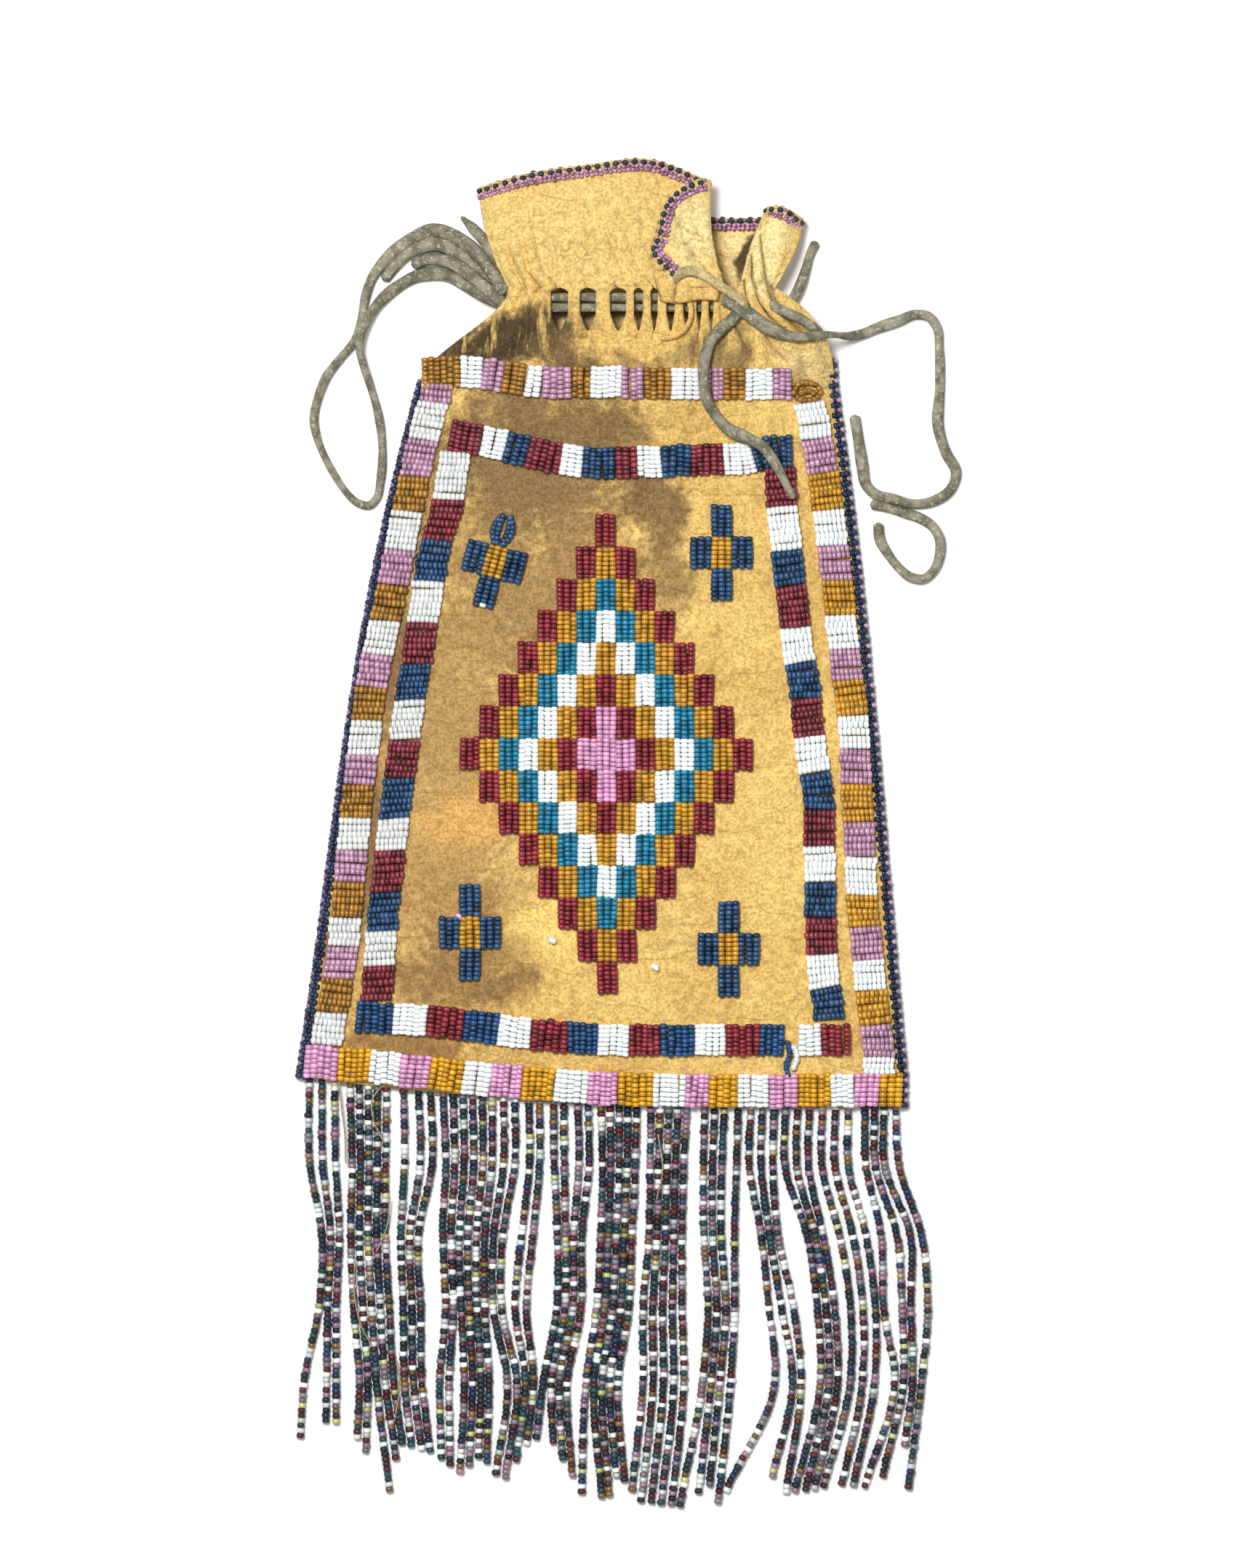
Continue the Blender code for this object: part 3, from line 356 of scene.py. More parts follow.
def thong(name, stations, seed, girth, pointed=False):
    """A run of thong through points in millimetres: a soft strip that turns over as it goes, rounded at its ends.

    A point without a height lies on the table. The radius is 1 + flat * cos(2 * (angle - turn)) times half its
    thickness, where turn and flat are slow waves
    along it. Girth gives (share of the length, thickness) stations, where 1 is the thong's plain thickness.
    """
    centre = run_along(np.array([(*place, LYING)[:3] for place in stations]) * MM, THONG_STEP)
    along = lengths_along(centre)
    chance = np.random.default_rng(seed)

    def wave(length):
        return np.sin(along / (length * MM) + chance.uniform(0, 6))

    turn = 0.35 * wave(11) + 0.25 * wave(4.3)
    flat = 0.13 + 0.10 * wave(9)
    shape = 1.0 + flat[:, None] * np.cos(2 * (angles_round(THONG_SIDES)[None] - turn[:, None]))
    shape *= 1.0 + 0.05 * wave(2.3)[:, None]
    shape *= curve_through(girth, along / along[-1])
    end = np.minimum(along, along[-1] - along) / END_ROUNDING
    round_off = np.sqrt(1.0 - (1.0 - np.clip(end, 0.02, 1.0)) ** 2)
    if pointed:
        round_off *= np.clip((along[-1] - along) / POINT_LENGTH, 0.3, 1.0) ** 0.6
    radius = THONG / 2 * shape * round_off[:, None]
    return soft_tube(name, centre, radius, LACE, name.replace("lace_", "thong_")), centre


# Each run's points, traced in millimetres from the neck outwards, and how its far end is held.
FREE_THONGS = {
    "lace_left_loop": ((
        (-30.0, 133.1, 6.9), (-31.7, 136.0, 6.6), (-34.1, 139.7, 6.0), (-37.2, 143.9, 4.4), (-41.1, 147.8, 2.6),
        (-46.2, 151.1, 1.6), (-52.1, 152.5), (-59.0, 149.8), (-65.8, 144.3), (-70.4, 138.6), (-72.6, 132.4),
        (-73.9, 125.4), (-75.9, 119.2), (-80.1, 114.0), (-84.3, 108.5), (-86.9, 102.1), (-88.2, 95.3),
        (-86.9, 88.9), (-84.5, 83.2), (-81.4, 77.7), (-78.1, 73.0), (-74.6, 70.0), (-71.4, 69.4), (-69.2, 71.6),
        (-68.1, 76.6), (-67.5, 82.5), (-67.6, 89.1), (-68.9, 97.9), (-71.1, 105.6, 1.8), (-73.3, 112.2, 3.4),
        (-74.4, 117.0, 4.6), (-73.9, 121.4, 4.7), (-72.0, 125.8, 4.0), (-68.2, 131.0, 1.9), (-62.9, 135.6),
        (-56.3, 139.0), (-48.8, 139.4), (-42.2, 136.2, 1.9), (-36.1, 132.6, 3.1), (-30.0, 129.9, 3.9),
    ), "object"),
    "lace_left_end": ((
        (-21.6, 137.0, 4.6), (-24.6, 137.0, 4.5), (-27.6, 137.2, 4.4), (-30.2, 138.4, 4.2), (-31.8, 140.8, 4.2),
        (-33.2, 143.9, 4.2), (-35.8, 148.5, 4.2), (-39.4, 152.6, 3.6), (-43.6, 156.8, 2.6),
    ), "bare"),
    "lace_left_upper": ((
        (-30.0, 133.1, 3.9), (-34.3, 136.6, 3.2), (-38.9, 141.0, 1.6), (-44.4, 145.6), (-51.0, 148.5),
        (-57.8, 146.8), (-63.6, 142.1), (-67.2, 137.4),
    ), "bare"),
    "lace_left_lower": ((
        (-30.0, 129.9, 6.9), (-35.2, 134.4, 5.8), (-41.1, 139.4, 4.3), (-47.4, 143.2, 2.4), (-53.6, 143.9, 1.6),
        (-58.6, 142.0),
    ), "bare"),
    "lace_right_main": ((
        (35.2, 132.0, 17.0), (39.2, 130.0, 17.1), (42.9, 127.4, 17.0), (46.6, 124.5, 16.9), (51.0, 121.9, 16.8),
        (56.1, 120.3, 16.3), (60.5, 120.2, 15.8), (64.7, 120.6, 14.5), (67.9, 120.8, 12.6), (70.8, 120.7, 9.4),
        (73.3, 120.5, 5.8), (75.8, 120.8, 2.8), (78.6, 121.5, 1.6), (82.1, 123.0), (88.7, 125.2), (94.2, 127.2),
        (98.1, 126.5), (100.5, 123.2), (101.2, 116.6), (101.4, 105.6), (101.0, 92.4), (103.2, 85.4), (106.3, 79.2),
        (104.5, 74.1), (99.2, 70.6), (93.5, 69.8), (87.1, 71.3), (82.1, 72.6), (79.2, 75.4), (77.9, 81.4),
        (76.9, 88.0), (75.5, 96.8),
    ), "bare"),
    "lace_right_loop": ((
        (80.3, 69.9), (85.4, 68.8), (90.4, 67.2), (95.3, 65.6), (99.2, 63.0), (101.4, 59.0), (101.4, 54.6),
        (99.7, 49.9), (96.4, 47.1), (92.4, 47.7), (88.9, 50.6), (85.6, 54.8), (83.2, 59.2), (82.8, 62.4),
        (82.8, 64.2),
    ), "bare"),
    "lace_front_end": ((
        (37.6, 124.6, 16.6), (35.2, 122.6, 16.6), (32.3, 119.4, 16.6), (30.4, 114.4, 17.0), (29.7, 108.9, 17.5),
        (29.9, 105.5, 17.3), (30.4, 102.3, 16.5), (33.2, 96.8, 13.0), (37.2, 92.4, 12.2), (43.1, 89.5, 13.3),
        (48.0, 86.7, 13.3), (51.5, 81.8, 12.4), (54.6, 75.9, 11.9), (57.2, 71.1, 11.6),
    ), "bare"),
    "lace_back_end": ((
        (46.6, 128.5, 3.3), (49.6, 128.5, 3.3), (52.6, 128.6, 3.3), (55.2, 129.6, 3.3), (57.2, 132.4, 3.2),
        (59.0, 136.0, 2.8), (60.6, 140.4, 2.0), (62.0, 145.2), (64.0, 149.4),
    ), "bare"),
}
PLAIN_GIRTH = ((0, 1.0), (0.5, 1.05), (1, 1.0))
GIRTHS = {
    "lace_left_loop": ((0, 1.5), (0.12, 1.5), (0.25, 1.0), (0.4, 0.85), (0.65, 0.85), (0.8, 1.0), (0.9, 1.4), (1, 1.5)),
    "lace_left_end": ((0, 1.3), (0.5, 1.4), (1, 1.1)),
    "lace_left_upper": ((0, 1.4), (0.5, 1.5), (1, 1.1)),
    "lace_left_lower": ((0, 1.4), (0.5, 1.45), (1, 1.1)),
    "lace_right_main": (
        (0, 1.45), (0.1, 1.5), (0.17, 0.95), (0.23, 0.75), (0.3, 1.0), (0.5, 1.0), (0.7, 1.1), (1, 1.1)),
    "lace_front_end": ((0, 1.35), (0.3, 1.2), (0.7, 1.15), (1, 0.9)),
}
for seed, (name, (stations, far_end)) in enumerate(FREE_THONGS.items(), start=11):
    piece, centre = thong(name, stations, seed, GIRTHS.get(name, PLAIN_GIRTH), pointed=name == "lace_left_end")
    float(lengths_along(centre)[-1])


# The front of the bag is one piece of smoke-tanned hide, 1.2 mm thick, cut wider at the hem than at the shoulders.
# Nine slits at the neck leave straps that the thong passes behind. Above them the hide flares into a collar,
# with its right corner folded over to the front and a gathered lobe beside it.
HIDE = 1.2 * MM
FIT = 0.3 * MM
DEEPEST_FOLD, STAIN_WARP, MERGE_DISTANCE = 2.0 * MM, 30.0 * MM, 1e-3 * MM
HEM_Y, HEM_DROP, HEM_WIDTH, HEM_SHIFT = -103.4 * MM, 8.8 * MM, 182.8 * MM, -1.0 * MM
TOP_Y, TOP_WIDTH, TOP_SHIFT = 105.6 * MM, 125.2 * MM, 6.7 * MM
LEFT_BOW, RIGHT_BOW = 3.9 * MM, 1.6 * MM
SLIT_LOW_Y, SLIT_HIGH_Y, NECK_LEFT = 122.0 * MM, 135.0 * MM, -29.0 * MM
PLEAT_WIDTH, LEFT_PLEATS, RIGHT_PLEATS, GAP_PLEATS = 2.08 * MM, 6, 8, 3
SLIT_SHUT = 0.08
SLIT_WIDTHS = np.array([5.5, 5.1, 5.3, 3.3, 2.6, 2.9, 2.1, 2.1, 2.0]) * MM
STRAP_WIDTHS = np.array([3.3, 4.0, 1.8, 1.8, 2.2, 2.2, 1.8, 1.6, 1.6]) * MM
PLEAT_DEPTH, PLEAT_LEAD, PLEAT_FADE, PLEAT_END = 1.0 * MM, 0.25, 14.0 * MM, 8.0 * MM
GATHER_LENGTH, SHOULDER_LENGTH = 45.0 * MM, 26.0 * MM
RIM_Y, RIM_ARCH, COLLAR_FLARE, COLLAR_WIDTH = 165.7 * MM, 7.7 * MM, 8.6 * MM, 68.2 * MM
FLAP_REACH, FLAP_RISE, FLAP_LIFT, FOLD_BOW = 18.0 * MM, 2.2 * MM, 1.4 * MM, 1.8 * MM
LOBE_RIM_Y, LOBE_WIDTH, LOBE_LEAN, LOBE_CREST = 158.4 * MM, 10.0 * MM, 8.6 * MM, 9.0 * MM
LOBE_ARCH, LOBE_FALL = 2.6 * MM, 2.0 * MM
BODY_HEIGHT, NECK_HEIGHT, NECK_SIDE_HEIGHT = 7.4 * MM, 13.4 * MM, 9.8 * MM
COLLAR_HEIGHT, COLLAR_SIDE_HEIGHT, ROLL = 9.8 * MM, 4.6 * MM, 35.0 * MM
SEAM_HEIGHT = 1.5 * HIDE + FIT

NECK_STEPS = np.concatenate([
    np.full(LEFT_PLEATS, PLEAT_WIDTH), np.stack([SLIT_WIDTHS, STRAP_WIDTHS], axis=1).ravel(),
    np.full(RIGHT_PLEATS, PLEAT_WIDTH),
])
NECK_PLACES = np.concatenate([[0.0], np.cumsum(NECK_STEPS)])
NECK_WIDTH = NECK_PLACES[-1]
NECK_RIGHT = NECK_LEFT + NECK_WIDTH
LAST_COLUMN = len(NECK_STEPS)
FOLD_COLUMN = LAST_COLUMN - RIGHT_PLEATS
LOBE_COLUMN = FOLD_COLUMN + GAP_PLEATS
FOLD_X = NECK_LEFT + NECK_PLACES[FOLD_COLUMN]
LOBE_X = NECK_LEFT + NECK_PLACES[LOBE_COLUMN]


def mix(a, b, t):
    """A straight line from a, where t is 0, to b, where t is 1."""
    return a + (b - a) * t


def ease(t):
    """A smooth step from 0 to 1."""
    t = np.clip(t, 0.0, 1.0)
    return t * t * (3.0 - 2.0 * t)


def plump(distance, roll):
    """How far a sheet has risen from its seam: 0 at the seam, and 1 a roll's width in."""
    return 1.0 - (1.0 - np.clip(distance / roll, 0.0, 1.0)) ** 3


def side_edge(y, side):
    """X of the hide's left (-1) or right (+1) edge: a bowed side, then a shoulder running in to the neck."""
    y = np.asarray(y, dtype=float)
    hem, top = HEM_SHIFT + side * HEM_WIDTH / 2, TOP_SHIFT + side * TOP_WIDTH / 2
    t = np.clip((y - HEM_Y) / (TOP_Y - HEM_Y), 0.0, 1.0)
    low = mix(hem, top, t) + side * (LEFT_BOW if side < 0 else RIGHT_BOW) * np.sin(math.pi * t**1.5)
    t = np.clip((y - TOP_Y) / (SLIT_HIGH_Y - TOP_Y), 0.0, 1.0)
    high = mix(top, NECK_LEFT if side < 0 else NECK_RIGHT, ease(t) if side < 0 else t**2.6)
    return np.where(y <= TOP_Y, low, high)


def hem_sag(x):
    """How far the hem hangs below its left corner."""
    t = np.clip((x - side_edge(HEM_Y, -1)) / HEM_WIDTH, 0.0, 1.0)
    return HEM_DROP * (1.0 - (1.0 - t) ** 3)


def sagged(x, y):
    """Y of rows of the hide once the hem hangs: the sag fades out with the square of the way up to the top."""
    level = np.where(y < TOP_Y, (1.0 - (y - HEM_Y) / (TOP_Y - HEM_Y)) ** 2, 0.0)[:, None]
    return y[:, None] - hem_sag(x) * level


def from_side(x, y):
    """How far a place is from the nearer side edge."""
    return np.minimum(x - side_edge(y, -1), side_edge(y, 1) - x)


def up_shoulder(y):
    """A smooth step from 0 at the top of the body to 1 at the slits."""
    return ease((y - TOP_Y) / (SLIT_LOW_Y - TOP_Y))


def up_collar(y):
    """A smooth step from 0 at the top of the slits to 1 at the rim."""
    return ease((y - SLIT_HIGH_Y) / (RIM_Y - SLIT_HIGH_Y))


def crown_height(y):
    """Height of the front's middle surface along the bag's centre line."""
    start = TOP_Y - SHOULDER_LENGTH
    low = mix(BODY_HEIGHT, NECK_HEIGHT, ease((y - start) / (SLIT_LOW_Y - start)))
    return np.where(y < SLIT_LOW_Y, low, mix(NECK_HEIGHT, COLLAR_HEIGHT, up_collar(y)))


def edge_height(y):
    """Height of the front's side edges: seamed on the body, parted at the neck for the thongs."""
    return mix(SEAM_HEIGHT, mix(NECK_SIDE_HEIGHT, COLLAR_SIDE_HEIGHT, up_collar(y)), up_shoulder(y))


def front_height(x, y):
    """Height of the front's middle surface over the body and the neck, without its gathers.

    height = edge + (crown - edge) * rise from the sides * rise from the hem
    """
    roll = mix(ROLL, 0.5 * ROLL, up_shoulder(y))
    low = edge_height(y)
    return low + (crown_height(y) - low) * plump(from_side(x, y), roll) * plump(y - (HEM_Y - hem_sag(x)), ROLL)


def pleat(u, y):
    """Height that the gathers add: a wave that stands up on each odd column line and lies low on each even one."""
    opened = ease((y - TOP_Y) / (SLIT_LOW_Y - TOP_Y) + PLEAT_LEAD)
    reach = opened * ease((RIM_Y - PLEAT_END - y) / PLEAT_FADE)
    at_slits = ease(u - LEFT_PLEATS + 0.5) * ease(FOLD_COLUMN + 0.5 - u)
    band = ease((y - SLIT_LOW_Y + 3 * MM) / (2.5 * MM)) * ease((SLIT_HIGH_Y + 3 * MM - y) / (2.5 * MM))
    share = reach * (1.0 - 0.4 * at_slits) * (1.0 - at_slits * band)
    return -np.cos(math.pi * u) * PLEAT_DEPTH * share * ease(u) * ease(LAST_COLUMN - u)


def ripple(x, y):
    """Slow swells of the soft hide, up to 0.3 mm, fading out at the seams."""
    swell = (np.sin(x / (9 * MM) + 1.3 * np.sin(y / (23 * MM))) * np.sin(y / (13 * MM) + 0.8)
             + 0.7 * np.sin((x + 0.6 * y) / (6.1 * MM) + 2.0) * np.sin((y - 0.4 * x) / (8.3 * MM)))
    fade = ease(from_side(x, y) / (12 * MM)) * ease((y - HEM_Y) / (15 * MM)) * ease((SLIT_LOW_Y - y) / (14 * MM))
    return 0.17 * MM * swell * fade


def column_lines(y):
    """X of each column line at the neck, for each y. A slit is blunt at its top and pointed at its bottom,
    and the outer pleats take up what the neck is wider lower down.
    """
    t = np.clip((y - SLIT_LOW_Y) / (SLIT_HIGH_Y - SLIT_LOW_Y), 0.0, 1.0)
    opened = np.minimum(t / 0.40, 1.0) ** 0.8 * np.sqrt(np.clip((1.0 - t) / 0.10, 0.0, 1.0))
    beyond = ease((SLIT_LOW_Y - y) / (7 * MM)) + ease((y - SLIT_HIGH_Y) / (5 * MM))
    open_share = mix(SLIT_SHUT, 1.0, np.maximum(opened, beyond))
    steps = np.tile(NECK_STEPS, (len(y), 1))
    slits = LEFT_PLEATS + 2 * np.arange(len(SLIT_WIDTHS))
    lost = SLIT_WIDTHS[None] * (1.0 - open_share[:, None])
    steps[:, slits] -= lost
    steps[:, slits - 1] += lost / 2
    steps[:, slits + 1] += lost / 2
    lines = NECK_LEFT + np.concatenate([np.zeros((len(y), 1)), np.cumsum(steps, axis=1)], axis=1)
    left, right = side_edge(y, -1)[:, None], side_edge(y, 1)[:, None]
    lines[:, :LEFT_PLEATS] = mix(left, lines[:, LEFT_PLEATS:LEFT_PLEATS + 1], np.arange(LEFT_PLEATS) / LEFT_PLEATS)
    pleats = np.arange(1, RIGHT_PLEATS + 1) / RIGHT_PLEATS
    lines[:, FOLD_COLUMN + 1:] = mix(lines[:, FOLD_COLUMN:FOLD_COLUMN + 1], right, pleats)
    return lines


def on_lines(lines, u):
    """X at column place u between the column lines of each row."""
    cell = np.clip(u.astype(int), 0, lines.shape[1] - 2)
    part = u - cell
    return lines[:, cell] * (1.0 - part) + lines[:, cell + 1] * part


def body_x(u, y):
    """X of column place u at height y: spread evenly over the body, and on the neck's column lines higher up."""
    gather = ease((y - TOP_Y + GATHER_LENGTH) / (SLIT_LOW_Y - TOP_Y + GATHER_LENGTH))[:, None]
    even = mix(side_edge(y, -1)[:, None], side_edge(y, 1)[:, None], u[None] / LAST_COLUMN)
    return mix(even, on_lines(column_lines(y), u), gather)


# Each creased fold: how deep and how wide it is, in millimetres, and its line in pixels of the picture.
FOLDS = (
    (2.0, 0.8, ((1046, 325), (1051, 375), (1060, 412), (1080, 438), (1101, 457))),
    (2.0, 0.8, ((1033, 352), (1035, 385), (1044, 416), (1062, 440), (1086, 460))),
    (1.8, 0.7, ((1021, 385), (1026, 412), (1034, 430))),
    (1.5, 0.7, ((1056, 384), (1070, 420), (1094, 446), (1112, 456))),
    (1.0, 0.9, ((1098, 450), (1122, 474), (1140, 505))),
    (1.5, 0.9, ((1010, 450), (1024, 476), (1034, 497))),
    (1.3, 1.0, ((1052, 464), (1066, 482), (1082, 496))),
    (1.2, 0.8, ((922, 285), (942, 335), (974, 380))),
    (1.0, 0.7, ((946, 258), (956, 310), (966, 345))),
    (0.8, 0.8, ((938, 300), (936, 330), (952, 366))),
    (1.6, 0.7, ((932, 382), (929, 398), (927, 414))),
    (1.0, 0.8, ((948, 392), (952, 404), (950, 414))),
    (0.8, 0.9, ((812, 335), (800, 370), (806, 394))),
    (0.9, 0.9, ((700, 340), (720, 380), (735, 440))),
    (0.8, 0.9, ((722, 372), (745, 400), (752, 432))),
    (0.7, 0.9, ((760, 330), (768, 360), (764, 390))),
    (0.7, 0.9, ((850, 352), (842, 376), (846, 392))),
    (0.9, 0.9, ((690, 395), (708, 420), (712, 450))),
)


def fold_marks(x, y):
    """How deep the hide dips along its creased folds: a narrow valley about each line of points."""
    dip = np.zeros(np.broadcast(x, y).shape)
    for depth, width, pixels in FOLDS:
        points = on_the_bag(pixels)
        nearest = np.ones(dip.shape)
        for start, end in zip(points, points[1:]):
            run_x, run_y = end - start
            share = ((x - start[0]) * run_x + (y - start[1]) * run_y) / (run_x**2 + run_y**2)
            share = np.clip(share, 0.0, 1.0)
            nearest = np.minimum(nearest, np.hypot(x - start[0] - share * run_x, y - start[1] - share * run_y))
        dip = np.maximum(dip, depth * MM * np.exp(-((nearest / (width * MM)) ** 2)))
    return dip


COLUMN_PARTS = 5
COLUMNS = np.linspace(0.0, LAST_COLUMN, LAST_COLUMN * COLUMN_PARTS + 1)
BODY_ROWS = np.concatenate([
    np.linspace(HEM_Y, TOP_Y, 106)[:-1], np.linspace(TOP_Y, SLIT_LOW_Y, 26)[:-1],
    np.linspace(SLIT_LOW_Y, SLIT_HIGH_Y, 27),
])
COLLAR_ROWS = np.linspace(0.0, 1.0, 46)


def body_surface(u, y):
    """Points of the front up to the top of the slits, with its hem hanging lower to the right."""
    x = body_x(u, y)
    hung = sagged(x, y)
    strap = (u[None] - LEFT_PLEATS) % 2 - 1.0
    on_strap = (strap > 0) * (u[None] > LEFT_PLEATS) * (u[None] < FOLD_COLUMN)
    band = ease((y - SLIT_LOW_Y) / (3 * MM)) * ease((SLIT_HIGH_Y - y) / (3 * MM))
    bulge = 0.45 * MM * np.sin(math.pi * strap) * on_strap * band[:, None]
    z = front_height(x, hung) + pleat(u[None], y[:, None]) + ripple(x, hung) + bulge - fold_marks(x, hung)
    return np.stack([x, hung, z], axis=-1)


def rim_rise(share):
    """How far the front rim stands above its left corner, from left (0) to the fold (1)."""
    arch = ((0, 0), (0.19, 0.48), (0.45, 0.83), (0.79, 1.0), (0.91, 0.62), (1, 0.26))
    return RIM_ARCH * curve_through(arch, share)[..., 0]


def fold_edge(t):
    """X of the line where the collar's right corner folds over, from neck (0) to rim (1)."""
    return mix(FOLD_X, NECK_LEFT - COLLAR_FLARE + COLLAR_WIDTH, t) - FOLD_BOW * np.sin(math.pi * t)


def collar_surface(u, t):
    """Points of the front collar, left of the fold: it flares to the left and its rim arches."""
    t = t[:, None]
    y = mix(SLIT_HIGH_Y, RIM_Y, t)
    left = NECK_LEFT - COLLAR_FLARE * (1.0 - (1.0 - t) ** 2)
    places = (on_lines(column_lines(y[:, 0]), u) - NECK_LEFT) / (FOLD_X - NECK_LEFT)
    share = mix(places, u[None] / FOLD_COLUMN, t)
    x = mix(left, fold_edge(t), share)
    low = edge_height(y)
    z = low + (crown_height(y) - low) * plump(x - left, 0.5 * ROLL) + pleat(u[None], y)
    z = z + 0.35 * MM * np.sin(x / (7 * MM) + 2.0 * t) * np.sin(math.pi * t) * ease(share * 6)
    risen = y + t * t * rim_rise(share)
    return np.stack([x, risen, z - fold_marks(x, risen) * (1.0 - t)], axis=-1)


def flap_surface(corner, t, parts):
    """The folded corner: from each point of the fold line round the fold and back to the left over the collar."""
    reach_stations = (
        (0.0, 0.70), (0.10, 0.75), (0.26, 0.95), (0.37, 1.0), (0.47, 0.88), (0.66, 0.77), (0.81, 0.66), (0.95, 0.36),
        (1.0, 0.12),
    )
    reach = FLAP_REACH * curve_through(reach_stations, t)[:, 0]
    lift = FLAP_LIFT * ease(1.0 - t)
    zero = np.zeros_like(t)
    across_x = np.stack([zero, zero + 0.45 * FLAP_RISE, zero - 0.27 * FLAP_RISE, -0.5 * reach, -reach], axis=1)
    up_z = np.stack([zero, *(share * FLAP_RISE + lift for share in (0.5, 1.0, 1.25, 1.1))], axis=1)
    stations = np.column_stack([np.arange(5.0), across_x.T, up_z.T])
    bent = curve_through(stations, parts)
    dx, dz = bent[:, :len(t)].T, bent[:, len(t):].T
    points = np.repeat(corner[:, None], len(parts), axis=1)
    points[..., 0] += dx
    points[..., 2] += dz + 0.25 * MM * np.sin(corner[:, 1:2] / (4 * MM) + dx / (3 * MM)) * (parts[None] > 1.5)
    points[..., 2] -= fold_marks(points[..., 0], points[..., 1]) * (parts[None] > 1.5)
    return points


def lobe_surface(u, t):
    """The gathered lobe at the right of the collar: it leans to the right as it rises, and its rim is arched."""
    t = t[:, None]
    share = ((u - LOBE_COLUMN) / (LAST_COLUMN - LOBE_COLUMN))[None]
    left = LOBE_X + LOBE_LEAN * t**1.4
    right = NECK_RIGHT + (LOBE_X + LOBE_LEAN + LOBE_WIDTH - NECK_RIGHT) * np.sin(0.5 * math.pi * t)
    arch = LOBE_ARCH * np.sin(math.pi * (0.2 + 0.8 * share)) - LOBE_FALL * share
    places = NECK_LEFT + np.interp(u, np.arange(LAST_COLUMN + 1), NECK_PLACES)[None]
    high = np.full_like(places, SLIT_HIGH_Y)
    base = front_height(places, high) + pleat(u[None], high)
    crest = 0.55 * LOBE_CREST + 0.45 * LOBE_CREST * np.sin(math.pi * share)
    z = mix(base, crest, ease(t)) + 0.4 * MM * np.cos(math.pi * u)[None] * np.sin(math.pi * t)
    x, y = mix(left, right, share), mix(SLIT_HIGH_Y, LOBE_RIM_Y, t) + t * arch
    return np.stack([x, y, z - fold_marks(x, y)], axis=-1)


FOLD_PLACE = FOLD_COLUMN * COLUMN_PARTS
LOBE_PLACE = LOBE_COLUMN * COLUMN_PARTS
FLAP_PARTS = np.linspace(0.0, 4.0, 21)[1:]
body = body_surface(COLUMNS, BODY_ROWS)
collar = collar_surface(COLUMNS[:FOLD_PLACE + 1], COLLAR_ROWS)
collar[0] = body[-1, :FOLD_PLACE + 1]
flap = flap_surface(collar[:, -1], COLLAR_ROWS, FLAP_PARTS)
lobe = lobe_surface(COLUMNS[LOBE_PLACE:], COLLAR_ROWS[::2])
lobe[0] = body[-1, LOBE_PLACE:]


def front_parts():
    """Points and faces of the front hide: the body without its slits, then the collar with its fold, then the lobe."""
    rows, columns = body.shape[:2]
    corners = grid_corners(rows, columns)
    row, column = np.divmod(np.arange(len(corners)), columns - 1)
    slit = column // COLUMN_PARTS - LEFT_PLEATS
    in_slit = (slit >= 0) & (slit % 2 == 0) & (column < FOLD_PLACE) & (BODY_ROWS[row] >= SLIT_LOW_Y - 1e-7)
    kept = [corners[~in_slit]]
    start = body.size // 3
    wide = np.concatenate([collar, flap], axis=1)
    kept.append(grid_corners(*wide.shape[:2]) + start)
    kept.append(grid_corners(*lobe.shape[:2]) + start + wide.size // 3)
    vertices = np.concatenate([body.reshape(-1, 3), wide.reshape(-1, 3), lobe.reshape(-1, 3)])
    return vertices, np.concatenate(kept)


def hide_sheet(name, vertices, faces, material, slot, node=None):
    """A sheet of hide whose shared points are merged, given its thickness half to each side.

    Its mesh carries how deep each point lies in a creased fold, which the finish darkens as painted shade.
    """
    key = np.round(vertices / MERGE_DISTANCE).astype(np.int64)
    _, first, same = np.unique(key, axis=0, return_index=True, return_inverse=True)
    spots = vertices[first]
    mesh = smooth_mesh(name, spots, same.ravel()[faces].ravel(), np.full(len(faces), 4), [material])
    mesh.validate()
    crease = fold_marks(spots[:, 0], spots[:, 1]) / DEEPEST_FOLD
    mesh.attributes.new("crease", "FLOAT", "POINT").data.foreach_set("value", crease.astype(np.float32))
    piece = add_piece(name, mesh, node)
    shell = piece.modifiers.new("thickness", "SOLIDIFY")
    shell.thickness = HIDE
    shell.offset = 0.0
    return piece


